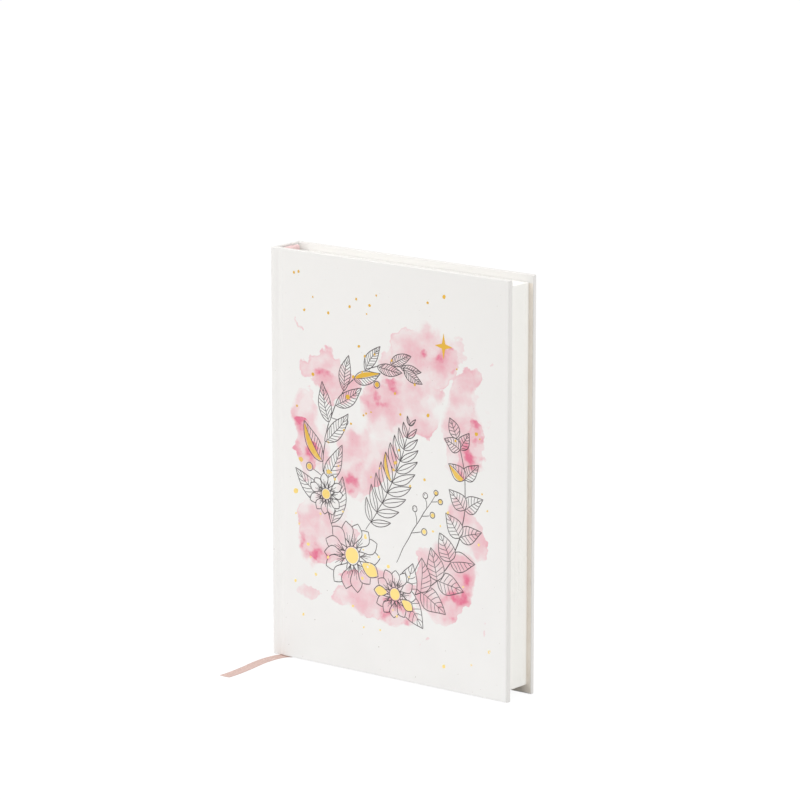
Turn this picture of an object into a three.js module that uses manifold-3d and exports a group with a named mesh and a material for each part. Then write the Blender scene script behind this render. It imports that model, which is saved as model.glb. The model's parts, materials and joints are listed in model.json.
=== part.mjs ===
// Dot grid journal: a case-bound notebook of sewn sections, standing on its tail edges.
//
// Millimetres. +X runs from the spine to the fore-edge, +Y from the front cover to the back cover
// and +Z from the tail to the head. The origin is on the surface that the journal stands on, under
// the middle of the closed book.
import * as THREE from "three";
import { mergeVertices } from "three/addons/utils/BufferGeometryUtils.js";
import Module from "manifold-3d";

const wasm = await Module();
wasm.setup();

// Page and margins
const pageWidth = 147;
const pageHeight = 207;
const headSquare = 4;
const tailSquare = 5;
const foreEdgeSquare = 2.8;

// Text block
const sectionsTurningWithACover = 3;
const sectionsStandingStill = 6;
const sectionThickness = 0.96;
const leafGap = 0.3;
const coverSlack = 0.65;
const stillSectionGap = 0.1;
const flyleafThickness = 0.2;
const foldFacets = 6;

// Case
const boardThickness = 2;
const spineBoardThickness = 1;
const coverPaper = 0.3;
const pastedownThickness = 0.15;
const glueLine = 0.05;
const turnInWidth = 15;
const jointWidth = 6.7;
const jointDepth = 0.9;
const jointSteps = 12;
const pastedownMargin = 2;

// How far a cutting block runs past what it cuts
const cutMargin = 5;

// Back of the text block
const hollowGap = 0.4;
const kraftThickness = 0.25;
const gauzeThickness = 0.25;
const gauzeMargin = 14;
const threadDiameter = 0.35;
const threadSides = 8;
const threadStations = 5;
const threadEndMargin = 28;

// Head and tail bands
const bandTapeHeight = 12;
const bandTapeThickness = 0.35;
const bandRadius = 1.5;
const bandSides = 16;
const bandClearance = 0.3;

// Ribbon
const ribbonWidth = 6.3;
const ribbonThickness = 0.2;
const ribbonGap = 0.15;
const ribbonClearance = 0.3;
const ribbonInFromFold = 4.6;
const ribbonTopInset = 2;
const ribbonDropRadius = 1.6;
const markerRises = 14;
const markerBendParts = 5;
const markerSwing = 0.5;
const markerFloorRuns = 5;
const markerSteps = 60;
const tailSteps = 32;

// The case rides clear of the ribbon that lies under it.
const caseLift = ribbonThickness + ribbonClearance;

const coverHeight = pageHeight + headSquare + tailSquare;
const caseTail = caseLift;
const caseHead = caseTail + coverHeight;
const blockTail = caseTail + tailSquare;
const blockHead = blockTail + pageHeight;

// Across the spine, from its outer face inwards
const spineBoardOuter = coverPaper + glueLine;
const spineBoardInner = spineBoardOuter + spineBoardThickness;
const spineWrapDepth = spineBoardInner + glueLine + coverPaper;
const kraftOuter = spineWrapDepth + hollowGap;
const gauzeOuter = kraftOuter + kraftThickness + glueLine;
const tapeOuter = gauzeOuter + gauzeThickness + glueLine;
const foldLine = tapeOuter + Math.max(bandTapeThickness, threadDiameter) + glueLine;
const coverWidth = foldLine + pageWidth + foreEdgeSquare;

// Through the book, from the front cover's outer face inwards
const boardOuter = coverPaper + glueLine;
const boardInner = boardOuter + boardThickness;
const wrapDepth = boardInner + glueLine + coverPaper;
const pastedownOuter = wrapDepth + glueLine;
const coverDepth = pastedownOuter + pastedownThickness;
const flyleafOuter = coverDepth + leafGap;
const firstSection = flyleafOuter + flyleafThickness + leafGap + coverSlack;

const sectionCount = 2 * sectionsTurningWithACover + sectionsStandingStill;
const ribbonSlot = ribbonThickness + 2 * ribbonGap;
const middleSection = sectionCount / 2;

// How far in each section's outer face lies
function sectionStart(index) {
  let depth = firstSection;
  for (let before = 0; before < index; before += 1) {
    const next = before + 1;
    const turning = next <= sectionsTurningWithACover || next >= sectionCount - sectionsTurningWithACover;
    const gap = turning ? leafGap : stillSectionGap;
    depth += sectionThickness + (next === middleSection ? ribbonSlot : gap);
  }
  return depth;
}

const blockFar = sectionStart(sectionCount - 1) + sectionThickness;
const bookThickness = blockFar + firstSection;

// The closed book is centred on the origin.
const spineX = -coverWidth / 2;
const frontY = -bookThickness / 2;

const jointStart = spineWrapDepth + glueLine;
const jointEnd = jointStart + jointWidth;
const boardStart = jointEnd + glueLine;

const paper = { color: 0xf4f3f1, roughness: 0.85, metalness: 0 };
const board = { color: 0xa79f92, roughness: 0.95, metalness: 0 };
const endpaper = { color: 0xefe9dc, roughness: 0.9, metalness: 0 };
const pages = { color: 0xf3f1ea, roughness: 0.9, metalness: 0 };
const kraft = { color: 0xb08f66, roughness: 0.95, metalness: 0 };
const gauze = { color: 0xe9e6dc, roughness: 1, metalness: 0 };
const linen = { color: 0xf2efe6, roughness: 0.9, metalness: 0 };
const pinkCotton = { color: 0xdf9fa6, roughness: 0.85, metalness: 0 };
const pinkSatin = { color: 0xe6beb7, roughness: 0.45, metalness: 0 };

const journal = new THREE.Group();
const caseGroup = new THREE.Group();
const blockGroup = new THREE.Group();
const ribbonGroup = new THREE.Group();
journal.add(caseGroup, blockGroup, ribbonGroup);

function addPart(group, name, geometry, finish) {
  const mesh = new THREE.Mesh(geometry, new THREE.MeshStandardMaterial(finish));
  mesh.name = name;
  group.add(mesh);
  return mesh;
}

// A block between two corners; along is measured from the spine and depth from the front cover.
function slab(along, depth, height) {
  const size = [along, depth, height].map(([low, high]) => high - low);
  const middle = [along, depth, height].map(([low, high]) => (low + high) / 2);
  const geometry = new THREE.BoxGeometry(...size);
  geometry.translate(spineX + middle[0], frontY + middle[1], middle[2]);
  return geometry;
}

// The same shape on the other side of the book
function mirroredToBack(geometry) {
  const flipped = geometry.clone();
  flipped.scale(1, -1, 1);
  const index = flipped.index;
  if (index) {
    for (let i = 0; i < index.count; i += 3) {
      const first = index.getX(i);
      index.setX(i, index.getX(i + 2));
      index.setX(i + 2, first);
    }
    return flipped;
  }
  const position = flipped.attributes.position;
  for (let i = 0; i < position.count; i += 3) {
    const first = new THREE.Vector3().fromBufferAttribute(position, i);
    const last = new THREE.Vector3().fromBufferAttribute(position, i + 2);
    position.setXYZ(i, last.x, last.y, last.z);
    position.setXYZ(i + 2, first.x, first.y, first.z);
  }
  return flipped;
}

function solidOf(geometry) {
  const bare = geometry.clone();
  bare.deleteAttribute("normal");
  bare.deleteAttribute("uv");
  const merged = mergeVertices(bare);
  return new wasm.Manifold(new wasm.Mesh({
    numProp: 3,
    vertProperties: new Float32Array(merged.attributes.position.array),
    triVerts: new Uint32Array(merged.index.array),
  }));
}

function geometryOf(solid) {
  const mesh = solid.getMesh();
  const geometry = new THREE.BufferGeometry();
  geometry.setAttribute("position", new THREE.BufferAttribute(new Float32Array(mesh.vertProperties), 3));
  geometry.setIndex(new THREE.BufferAttribute(new Uint32Array(mesh.triVerts), 1));
  geometry.computeVertexNormals();
  return geometry;
}

// An outline in plan (along the cover, through the book), raised between two heights
function raised(points, bottom, top) {
  const corners = points.map(([along, depth]) => new THREE.Vector2(spineX + along, frontY + depth));
  const outline = new THREE.Shape(corners);
  const geometry = new THREE.ExtrudeGeometry(outline, { depth: top - bottom, bevelEnabled: false });
  geometry.translate(0, 0, bottom);
  return geometry;
}

// Paper folded round three edges of a board, open towards the spine
function frontCoverPaper() {
  const whole = solidOf(slab([boardStart, coverWidth], [0, wrapDepth], [caseTail, caseHead]));
  const boardSpace = solidOf(slab(
    [boardStart - cutMargin, coverWidth - coverPaper],
    [coverPaper, wrapDepth - coverPaper],
    [caseTail + coverPaper, caseHead - coverPaper],
  ));
  const window = solidOf(slab(
    [boardStart - cutMargin, coverWidth - turnInWidth],
    [coverPaper, wrapDepth + cutMargin],
    [caseTail + turnInWidth, caseHead - turnInWidth],
  ));
  return geometryOf(whole.subtract(boardSpace).subtract(window));
}

// Paper round the spine board, turned in at the head and the tail
function spineCoverPaper() {
  const whole = solidOf(slab([0, spineWrapDepth], [0, bookThickness], [caseTail, caseHead]));
  const boardSpace = solidOf(slab(
    [coverPaper, spineWrapDepth - coverPaper],
    [coverPaper, bookThickness - coverPaper],
    [caseTail + coverPaper, caseHead - coverPaper],
  ));
  const window = solidOf(slab(
    [coverPaper, spineWrapDepth + cutMargin],
    [coverPaper, bookThickness - coverPaper],
    [caseTail + turnInWidth, caseHead - turnInWidth],
  ));
  return geometryOf(whole.subtract(boardSpace).subtract(window));
}

// The hinge groove beside the spine
function jointPaper() {
  const outer = [];
  for (let step = 0; step <= jointSteps; step += 1) {
    const share = step / jointSteps;
    const dip = jointDepth * (1 - Math.cos(2 * Math.PI * share)) / 2;
    outer.push([jointStart + jointWidth * share, dip]);
  }
  const inner = outer.map(([along, depth]) => [along, depth + coverPaper]).reverse();
  return raised([...outer, ...inner], caseTail, caseHead);
}

function pastedown() {
  return slab(
    [boardStart, coverWidth - pastedownMargin],
    [pastedownOuter, coverDepth],
    [caseTail + pastedownMargin, caseHead - pastedownMargin],
  );
}

function endpaperFold() {
  return slab(
    [foldLine, boardStart - glueLine],
    [pastedownOuter, coverDepth],
    [caseTail + pastedownMargin, caseHead - pastedownMargin],
  );
}

// A folded section: round at the fold, square at the fore-edge
function section(index) {
  const near = sectionStart(index);
  const radius = sectionThickness / 2;
  const outline = [[foldLine + pageWidth, near], [foldLine + pageWidth, near + sectionThickness]];
  for (let step = 0; step <= foldFacets; step += 1) {
    const turn = Math.PI * (step / foldFacets);
    outline.push([foldLine + radius - radius * Math.sin(turn), near + radius + radius * Math.cos(turn)]);
  }
  return raised(outline, blockTail, blockHead);
}

function buildCase() {
  const frontBoard = slab(
    [boardStart, coverWidth - coverPaper - glueLine],
    [boardOuter, boardInner],
    [caseTail + coverPaper + glueLine, caseHead - coverPaper - glueLine],
  );
  const spineBoard = slab(
    [spineBoardOuter, spineBoardInner],
    [coverPaper + glueLine, bookThickness - coverPaper - glueLine],
    [caseTail + coverPaper + glueLine, caseHead - coverPaper - glueLine],
  );
  const pairs = [
    ["board", frontBoard, board],
    ["cover_paper", frontCoverPaper(), paper],
    ["joint_paper", jointPaper(), paper],
    ["pastedown", pastedown(), endpaper],
    ["endpaper_fold", endpaperFold(), endpaper],
  ];
  for (const [name, geometry, finish] of pairs) {
    addPart(caseGroup, `front_${name}`, geometry, finish);
    addPart(caseGroup, `back_${name}`, mirroredToBack(geometry), finish);
  }
  addPart(caseGroup, "spine_board", spineBoard, board);
  addPart(caseGroup, "spine_cover_paper", spineCoverPaper(), paper);
}

function buildSections() {
  const flyleaf = slab(
    [foldLine, foldLine + pageWidth],
    [flyleafOuter, flyleafOuter + flyleafThickness],
    [blockTail, blockHead],
  );
  addPart(blockGroup, "front_flyleaf", flyleaf, endpaper);
  addPart(blockGroup, "back_flyleaf", mirroredToBack(flyleaf), endpaper);
  for (let index = 0; index < sectionCount; index += 1) {
    const number = String(index + 1).padStart(2, "0");
    addPart(blockGroup, `section_${number}`, section(index), pages);
  }
}

function buildSpineLinings() {
  addPart(blockGroup, "spine_lining", slab(
    [kraftOuter, kraftOuter + kraftThickness],
    [firstSection, blockFar],
    [blockTail + bandClearance, blockHead - bandClearance],
  ), kraft);
  addPart(blockGroup, "spine_gauze", slab(
    [gauzeOuter, gauzeOuter + gauzeThickness],
    [firstSection, blockFar],
    [blockTail + gauzeMargin, blockHead - gauzeMargin],
  ), gauze);
  const radius = threadDiameter / 2;
  const length = blockFar - firstSection - sectionThickness;
  const spacing = (pageHeight - 2 * threadEndMargin) / (threadStations - 1);
  for (let station = 0; station < threadStations; station += 1) {
    const height = blockTail + threadEndMargin + spacing * station;
    const thread = new THREE.CylinderGeometry(radius, radius, length, threadSides);
    thread.translate(spineX + tapeOuter + radius, 0, height);
    addPart(blockGroup, `sewing_thread_${station + 1}`, thread, linen);
  }
}

// A cotton band: a round bead on the end of the block and a tape glued behind it.
// direction is 1 at the head and -1 at the tail.
function band(end, direction) {
  const length = blockFar - firstSection;
  const centreX = spineX + tapeOuter + bandRadius;
  const centreZ = end + direction * (bandClearance + bandRadius);
  const bead = new THREE.CylinderGeometry(bandRadius, bandRadius, length, bandSides);
  bead.translate(centreX, 0, centreZ);
  const tapeEnds = [end - direction * bandTapeHeight, centreZ].sort((a, b) => a - b);
  const tape = slab([tapeOuter, tapeOuter + bandTapeThickness], [firstSection, blockFar], tapeEnds);
  return geometryOf(solidOf(bead).add(solidOf(tape)));
}

function buildBands() {
  addPart(blockGroup, "headband", band(blockHead, 1), pinkCotton);
  addPart(blockGroup, "tailband", band(blockTail, -1), pinkCotton);
}

// A flat ribbon along a curve: its width stays as near to X as the curve allows.
function flatRibbon(curve, steps) {
  const acrossBook = new THREE.Vector3(1, 0, 0);
  const positions = [];
  const indices = [];
  for (let step = 0; step <= steps; step += 1) {
    const share = step / steps;
    const centre = curve.getPointAt(share);
    const tangent = curve.getTangentAt(share);
    const side = acrossBook.clone().addScaledVector(tangent, -acrossBook.dot(tangent)).normalize();
    const face = new THREE.Vector3().crossVectors(tangent, side).normalize();
    for (const [u, v] of [[-1, -1], [1, -1], [1, 1], [-1, 1]]) {
      const corner = centre.clone()
        .addScaledVector(side, u * ribbonWidth / 2)
        .addScaledVector(face, v * ribbonThickness / 2);
      positions.push(corner.x, corner.y, corner.z);
    }
  }
  for (let step = 0; step < steps; step += 1) {
    for (let edge = 0; edge < 4; edge += 1) {
      const a = step * 4 + edge;
      const b = step * 4 + (edge + 1) % 4;
      indices.push(a, b, a + 4, b, b + 4, a + 4);
    }
  }
  const last = steps * 4;
  indices.push(0, 2, 1, 0, 3, 2);
  indices.push(last, last + 1, last + 2, last, last + 2, last + 3);
  const geometry = new THREE.BufferGeometry();
  geometry.setAttribute("position", new THREE.Float32BufferAttribute(positions, 3));
  geometry.setIndex(indices);
  geometry.computeVertexNormals();
  return geometry;
}

// The free end on the surface: distance from the spine's outer face, then distance in front of the
// front cover's outer face
const tailRoute = [
  [8.6, -2.2],
  [7.3, -0.6],
  [6.3, 1.6],
  [5.6, 4.2],
  [5.2, 7.0],
  [5.0, 10.0],
  [5.0, 13.2],
  [5.15, 16.6],
  [5.55, 20.0],
  [6.1, 23.6],
  [6.7, 27.2],
  [7.15, 30.8],
  [7.6, 34.4],
  [7.95, 38.2],
  [8.2, 41.8],
  [8.3, 45.4],
  [8.2, 49.0],
];

function tailPoint([along, outFromCover]) {
  return new THREE.Vector3(spineX + along, frontY - outFromCover, ribbonThickness / 2);
}

// Down between the middle sections, round under the block and out to where the free end begins.
// markerSwing is the share of the free end's slant that the stretch under the block starts with.
function markerRoute() {
  const slotDepth = sectionStart(middleSection) - ribbonSlot / 2;
  const start = tailPoint(tailRoute[0]);
  const away = start.clone().sub(tailPoint(tailRoute[1])).normalize();
  const end = start.clone().addScaledVector(away, ribbonClearance);
  const slotY = frontY + slotDepth;
  const floor = ribbonThickness / 2;
  const dropX = end.x + markerSwing * away.x / away.y * (slotY - end.y);
  const route = [];
  const top = blockHead - ribbonTopInset;
  const turn = floor + ribbonDropRadius;
  const topX = spineX + foldLine + ribbonInFromFold;
  for (let step = markerRises; step >= 0; step -= 1) {
    const rise = (step / markerRises) ** 2;
    const across = rise * rise * (3 - 2 * rise);
    route.push(new THREE.Vector3(dropX + (topX - dropX) * across, slotY, turn + (top - turn) * rise));
  }
  for (let part = 1; part <= markerBendParts; part += 1) {
    const angle = Math.PI / 2 * part / markerBendParts;
    const out = ribbonDropRadius * (1 - Math.cos(angle));
    const down = ribbonDropRadius * Math.sin(angle);
    route.push(new THREE.Vector3(dropX, slotY - out, turn - down));
  }
  const bendEnd = route[route.length - 1];
  const reach = bendEnd.distanceTo(end) / 3;
  const ahead = new THREE.Vector3(bendEnd.x, bendEnd.y - reach, bendEnd.z);
  const swing = new THREE.CubicBezierCurve3(bendEnd, ahead, end.clone().addScaledVector(away, reach), end);
  for (let step = 1; step <= markerFloorRuns; step += 1) {
    route.push(swing.getPoint(step / markerFloorRuns));
  }
  return route;
}

function buildRibbon() {
  const markerCurve = new THREE.CatmullRomCurve3(markerRoute(), false, "centripetal");
  const tailCurve = new THREE.CatmullRomCurve3(tailRoute.map(tailPoint), false, "centripetal");
  addPart(ribbonGroup, "ribbon_marker", flatRibbon(markerCurve, markerSteps), pinkSatin);
  addPart(ribbonGroup, "ribbon_tail", flatRibbon(tailCurve, tailSteps), pinkSatin);
}

buildCase();
buildSections();
buildSpineLinings();
buildBands();
buildRibbon();

export default journal;
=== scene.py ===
"""Looks of a case-bound dot grid journal that stands on its tail edges.

The covers have grooves beside the spine, and the outer sections are built apart from the block's body.
Lengths are in millimetres, in the
frame's own axes, and become metres when a piece is finished: +X runs from the spine to the
fore-edge, +Y from the front cover to the back cover and +Z from the tail to the head.
"""

import json
import logging
import math
import random
from collections.abc import Callable, Mapping, Sequence
from dataclasses import dataclass, field
from enum import Enum
from typing import Any

import bmesh
import bpy
from mathutils import Matrix, Vector

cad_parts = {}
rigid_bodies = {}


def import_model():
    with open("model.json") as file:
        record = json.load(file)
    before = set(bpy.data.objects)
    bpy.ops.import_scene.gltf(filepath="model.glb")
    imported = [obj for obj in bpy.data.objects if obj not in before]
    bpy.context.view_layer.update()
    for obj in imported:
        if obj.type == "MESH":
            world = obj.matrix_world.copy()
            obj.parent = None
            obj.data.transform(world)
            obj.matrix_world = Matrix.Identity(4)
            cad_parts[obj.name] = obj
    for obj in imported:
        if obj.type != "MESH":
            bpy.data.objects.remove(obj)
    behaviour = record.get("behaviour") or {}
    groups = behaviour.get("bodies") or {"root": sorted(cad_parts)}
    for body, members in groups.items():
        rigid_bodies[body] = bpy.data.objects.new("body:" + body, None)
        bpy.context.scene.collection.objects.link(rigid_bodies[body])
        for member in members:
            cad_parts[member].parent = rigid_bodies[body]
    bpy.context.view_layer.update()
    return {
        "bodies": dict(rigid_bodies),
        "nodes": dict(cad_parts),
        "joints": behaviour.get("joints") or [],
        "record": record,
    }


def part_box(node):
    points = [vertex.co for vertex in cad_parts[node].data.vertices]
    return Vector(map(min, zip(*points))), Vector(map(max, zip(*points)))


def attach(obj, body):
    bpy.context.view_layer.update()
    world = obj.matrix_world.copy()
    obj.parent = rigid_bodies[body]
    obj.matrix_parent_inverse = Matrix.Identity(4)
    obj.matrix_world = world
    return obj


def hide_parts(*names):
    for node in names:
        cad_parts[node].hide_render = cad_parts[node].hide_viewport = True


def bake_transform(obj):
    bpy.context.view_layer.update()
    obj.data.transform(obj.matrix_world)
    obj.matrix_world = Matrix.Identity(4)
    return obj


LOG = logging.getLogger("journal")

MM = 0.001
BLOCK_BODY = "text_block"
FLAT_LAYER = "Flat"
EDGE_LAYER = "Edge"
CRISP_ANGLE = 38.0
SOFT_ANGLE = 60.0
ROUNDING_STEPS = 3
QUARTER_TURN = math.radians(90)
WHITE = (1.0, 1.0, 1.0, 1.0)

Point = tuple[float, float]
Colour = tuple[float, float, float, float]
Extras = tuple[tuple[str, float], ...]
Stops = Sequence[tuple[float, Colour]]
Inputs = Mapping[int | str, Any]
Operand = "Value | float"


def srgb(red: int, green: int, blue: int) -> Colour:
    """Turns a display colour into a linear one.

    Args:
        red: Level from 0 to 255.
        green: Level from 0 to 255.
        blue: Level from 0 to 255.

    Returns:
        Linear red, green and blue, and an alpha of 1.
    """

    def linear(level: int) -> float:
        """One channel made linear."""
        share = level / 255
        return share / 12.92 if share <= 0.04045 else ((share + 0.055) / 1.055) ** 2.4

    return (linear(red), linear(green), linear(blue), 1.0)


def around(centre: Point, radius: float, turn: float, stretch: float = 1.0) -> Point:
    """The point of a circle at an angle in radians; stretch makes the circle taller."""
    return (centre[0] + radius * math.cos(turn), centre[1] + radius * stretch * math.sin(turn))


def arc(centre: Point, radius: float, start: float, end: float, steps: int) -> list[Point]:
    """Points along a circular arc from one angle in degrees to another, both ends included."""
    return [around(centre, radius, math.radians(angle)) for angle in spaced(start, end, steps)]


def spaced(start: float, end: float, steps: int) -> list[float]:
    """Even places from start to end, both included."""
    return [start + (end - start) * step / steps for step in range(steps + 1)]


def smoothed(points: Sequence[Vector], parts: int) -> list[Vector]:
    """Runs a smooth curve through points.

    Args:
        points: The points that the curve passes.
        parts: Number of stretches between two of them.

    Returns:
        Points along the curve, the given ones among them.
    """
    padded = [2 * points[0] - points[1], *points, 2 * points[-1] - points[-2]]
    curve = []
    for before, start, end, after in zip(padded, padded[1:], padded[2:], padded[3:]):
        for part in range(parts):
            t = part / parts
            curve.append(
                start
                + (end - before) * (t / 2)
                + (2 * before - 5 * start + 4 * end - after) * (t * t / 2)
                + (3 * start - before - 3 * end + after) * (t * t * t / 2)
            )
    return [*curve, points[-1]]


class Side(Enum):
    """Which cover a piece belongs to; the value is that cover's direction along Y."""

    FRONT = -1
    BACK = 1

    @property
    def label(self) -> str:
        """The word that starts the names of this side's pieces."""
        return self.name.lower()

    @property
    def cover(self) -> str:
        """The body of this side's cover."""
        return f"{self.label}_cover"


@dataclass(frozen=True)
class Extent:
    """The box that a piece of the frame fills at rest, in millimetres.

    Attributes:
        low: Its lowest corner.
        high: Its highest corner.
    """

    low: Vector
    high: Vector

    @classmethod
    def of(cls, node: str) -> "Extent":
        """Measures one node of the frame."""
        low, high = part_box(node)
        return cls(low / MM, high / MM)

    @property
    def outer(self) -> float:
        """Distance from the book's middle plane to the face furthest from it."""
        return max(abs(self.low.y), abs(self.high.y))

    @property
    def inner(self) -> float:
        """Distance from the book's middle plane to the face nearest to it."""
        return min(abs(self.low.y), abs(self.high.y))


def front_corner() -> Vector:
    """The corner of the front cover's outer face at the spine and the tail."""
    cover = Extent.of("front_cover_paper")
    return Vector((Extent.of("spine_cover_paper").low.x, -cover.outer, cover.low.z))


def operation(kind: str, swapped: bool = False) -> Callable[..., "Value"]:
    """Makes a method that adds one Math node.

    Args:
        kind: What the node works out.
        swapped: Whether the operands change places, as in a reflected operator.

    Returns:
        The method.
    """

    def method(self: "Value", *others: Operand) -> "Value":
        """Adds the node on this value and the others."""
        operands = (*others, self) if swapped else (self, *others)
        return self.graph.node("ShaderNodeMath", {"operation": kind}, dict(enumerate(operands)))

    return method


class Value:
    """One output of a node. Python's arithmetic on it adds Math nodes, for numbers alone."""

    def __init__(self, graph: "Graph", socket: bpy.types.NodeSocket) -> None:
        """Keeps the output and the graph that it belongs to."""
        self.graph = graph
        self.socket = socket

    __add__ = operation("ADD")
    __radd__ = operation("ADD", swapped=True)
    __sub__ = operation("SUBTRACT")
    __rsub__ = operation("SUBTRACT", swapped=True)
    __mul__ = operation("MULTIPLY")
    __rmul__ = operation("MULTIPLY", swapped=True)
    __truediv__ = operation("DIVIDE")
    __lt__ = operation("LESS_THAN")
    __gt__ = operation("GREATER_THAN")
    __abs__ = operation("ABSOLUTE")
    sine = operation("SINE")
    larger = operation("MAXIMUM")
    fraction = operation("FRACT")

    def between(self, low: float, high: float) -> "Value":
        """Low where this value is 0 and high where it is 1."""
        return self * (high - low) + low

    def wave(self, length: float) -> "Value":
        """A wave from 0 to 1 and back that repeats after a length."""
        return (self * (math.tau / length)).sine().between(0.5, 1.0)

    def off_centre(self, length: float) -> "Value":
        """How far this value lies past the middle of its stretch, as a share of the stretch's length."""
        return (self / length).fraction() - 0.5

    def step(self, low: Operand, high: Operand) -> "Value":
        """A smooth rise from 0 at low to 1 at high."""
        settings = {"interpolation_type": "SMOOTHSTEP"}
        return self.graph.node("ShaderNodeMapRange", settings, {0: self, 1: low, 2: high, 3: 0.0, 4: 1.0})

    def beside(self, output: int | str) -> "Value":
        """Another output of the same node."""
        return Value(self.graph, self.socket.node.outputs[output])


@dataclass(frozen=True)
class Cloud:
    """Soft blotches.

    Attributes:
        size: About how wide a blotch is.
        detail: How ragged it is.
        low: Level of the noise at which a blotch starts.
        high: Level at which it is full.
    """

    size: float
    detail: float
    low: float
    high: float


class Graph:
    """The nodes of a material or of the world."""

    def __init__(self, owner: bpy.types.Material | bpy.types.World) -> None:
        """Empties the owner's nodes and adds its output."""
        owner.use_nodes = True
        self.tree = owner.node_tree
        self.tree.nodes.clear()
        kind = "World" if isinstance(owner, bpy.types.World) else "Material"
        self.output = self.tree.nodes.new(f"ShaderNodeOutput{kind}")

    def node(
        self,
        kind: str,
        settings: Mapping[str, Any] | None = None,
        inputs: Inputs | None = None,
        output: int | str = 0,
    ) -> Value:
        """Adds a node, sets it and feeds its sockets.

        Args:
            kind: The node's type.
            settings: Its own settings; stops are the places and colours of a ramp.
            inputs: A link or a plain value for each socket, by place or name.
            output: Which output to hand on.

        Returns:
            That output.
        """
        node = self.tree.nodes.new(kind)
        for name, value in (settings or {}).items():
            if name == "stops":
                self._set_stops(node.color_ramp, value)
            else:
                setattr(node, name, value)
        for key, value in (inputs or {}).items():
            if isinstance(value, Value):
                self.tree.links.new(value.socket, node.inputs[key])
            else:
                node.inputs[key].default_value = value
        return Value(self, node.outputs[output])

    def _set_stops(self, ramp: bpy.types.ColorRamp, stops: Stops) -> None:
        """Gives a ramp its places and colours."""
        while len(ramp.elements) < len(stops):
            ramp.elements.new(1.0)
        for element, (place, colour) in zip(ramp.elements, stops):
            element.position = place
            element.color = colour

    def shader(self, kind: str, inputs: Inputs) -> Value:
        """Adds a shader node."""
        return self.node(kind, None, inputs)

    def finish(self, surface: Value) -> None:
        """Links the surface to the output."""
        self.tree.links.new(surface.socket, self.output.inputs["Surface"])

    def vector(self, kind: str, inputs: Inputs, output: int = 0) -> Value:
        """Adds one Vector Math node."""
        return self.node("ShaderNodeVectorMath", {"operation": kind}, inputs, output)

    def solid_millimetres(self) -> Value:
        """Object coordinates in millimetres."""
        place = self.node("ShaderNodeTexCoord", output="Object")
        return self.vector("SCALE", {0: place, "Scale": 1 / MM})

    def flat_millimetres(self) -> Value:
        """The sheet's own coordinates, which stay with it when it bends, in millimetres."""
        return self.node("ShaderNodeUVMap", {"uv_map": FLAT_LAYER})

    def parts(self, vector: Value) -> tuple[Value, Value, Value]:
        """The three numbers in a vector."""
        split = self.node("ShaderNodeSeparateXYZ", None, {0: vector})
        return split, split.beside(1), split.beside(2)

    def noise(self, place: Value, size: float, detail: float, output: int = 0) -> Value:
        """Soft noise whose blotches are about as wide as size."""
        settings = {"noise_dimensions": "3D"}
        inputs = {"Vector": place, "Scale": 1 / size, "Detail": detail}
        return self.node("ShaderNodeTexNoise", settings, inputs, output)

    def cloud(self, place: Value, cloud: Cloud) -> Value:
        """Where a cloud covers a place, from 0 to 1."""
        return self.noise(place, cloud.size, cloud.detail).step(cloud.low, cloud.high)

    def mix(self, share: Operand, first: Any, second: Any, blend: str = "MIX") -> Value:
        """A colour between two colours."""
        settings = {"data_type": "RGBA", "blend_type": blend}
        return self.node("ShaderNodeMix", settings, {0: share, 6: first, 7: second}, 2)

    def ramp(self, share: Value, stops: Stops) -> Value:
        """The colour at a place along some stops."""
        return self.node("ShaderNodeValToRGB", {"stops": stops}, {0: share})

    def relief(self, height: Value, strength: float, depth: float) -> Value:
        """A normal bent by a height; depth is that of a height of 1, in millimetres."""
        inputs = {"Strength": strength, "Distance": depth * MM, "Height": height}
        return self.node("ShaderNodeBump", None, inputs)

    def seen(self) -> Value:
        """1 for what the camera sees, straight on or mirrored, and 0 for what lights other things."""
        ray = self.node("ShaderNodeLightPath", output="Is Camera Ray")
        return ray.larger(ray.beside("Is Glossy Ray"))


@dataclass(frozen=True)
class Finish:
    """What a surface is made of.

    Attributes:
        name: The material's name.
        slot: Name of a material slot, or nothing for a print; not used.
        base: Its main colour.
        shade: Its second colour.
        roughness: How rough it is where its grain is faint and where it is strong.
        relief: Strength and depth of its raised pattern.
        others: More inputs of its shader, with their values.
    """

    name: str
    slot: str = ""
    base: Colour = WHITE
    shade: Colour = WHITE
    roughness: Point = (0.5, 0.5)
    relief: Point = (0.0, 0.0)
    others: Extras = ()

    def material(self) -> bpy.types.Material:
        """Draws the material once and hands it out."""
        made = bpy.data.materials.get(self.name)
        if made is None:
            made = bpy.data.materials.new(self.name)
            self.draw(Graph(made))
        return made

    def draw(self, graph: Graph) -> None:
        """Adds the nodes of this finish."""
        raise NotImplementedError

    def coat(self, graph: Graph, colour: Value, grain: Value, height: Value | None = None) -> None:
        """Ends the material with its surface.

        Args:
            graph: The material's nodes.
            colour: Its colour.
            grain: What makes it rough.
            height: What raises it, if anything does.
        """
        inputs = {"Base Color": colour, "Roughness": grain.between(*self.roughness), **dict(self.others)}
        if height is not None:
            inputs["Normal"] = graph.relief(height, *self.relief)
        graph.finish(graph.shader("ShaderNodeBsdfPrincipled", inputs))


@dataclass(frozen=True)
class Paper(Finish):
    """Paper, whose fibres roughen it.

    Attributes:
        fibre: Width of a fibre.
    """

    fibre: float = 0.7

    def draw(self, graph: Graph) -> None:
        """Adds the nodes of the paper."""
        place = graph.flat_millimetres()
        fibres = graph.noise(place, self.fibre, 4.0)
        self.coat(graph, self.colour(graph, place), fibres, fibres)

    def colour(self, graph: Graph, place: Value) -> Value:
        """The paper's colour at a place."""
        raise NotImplementedError


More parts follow.
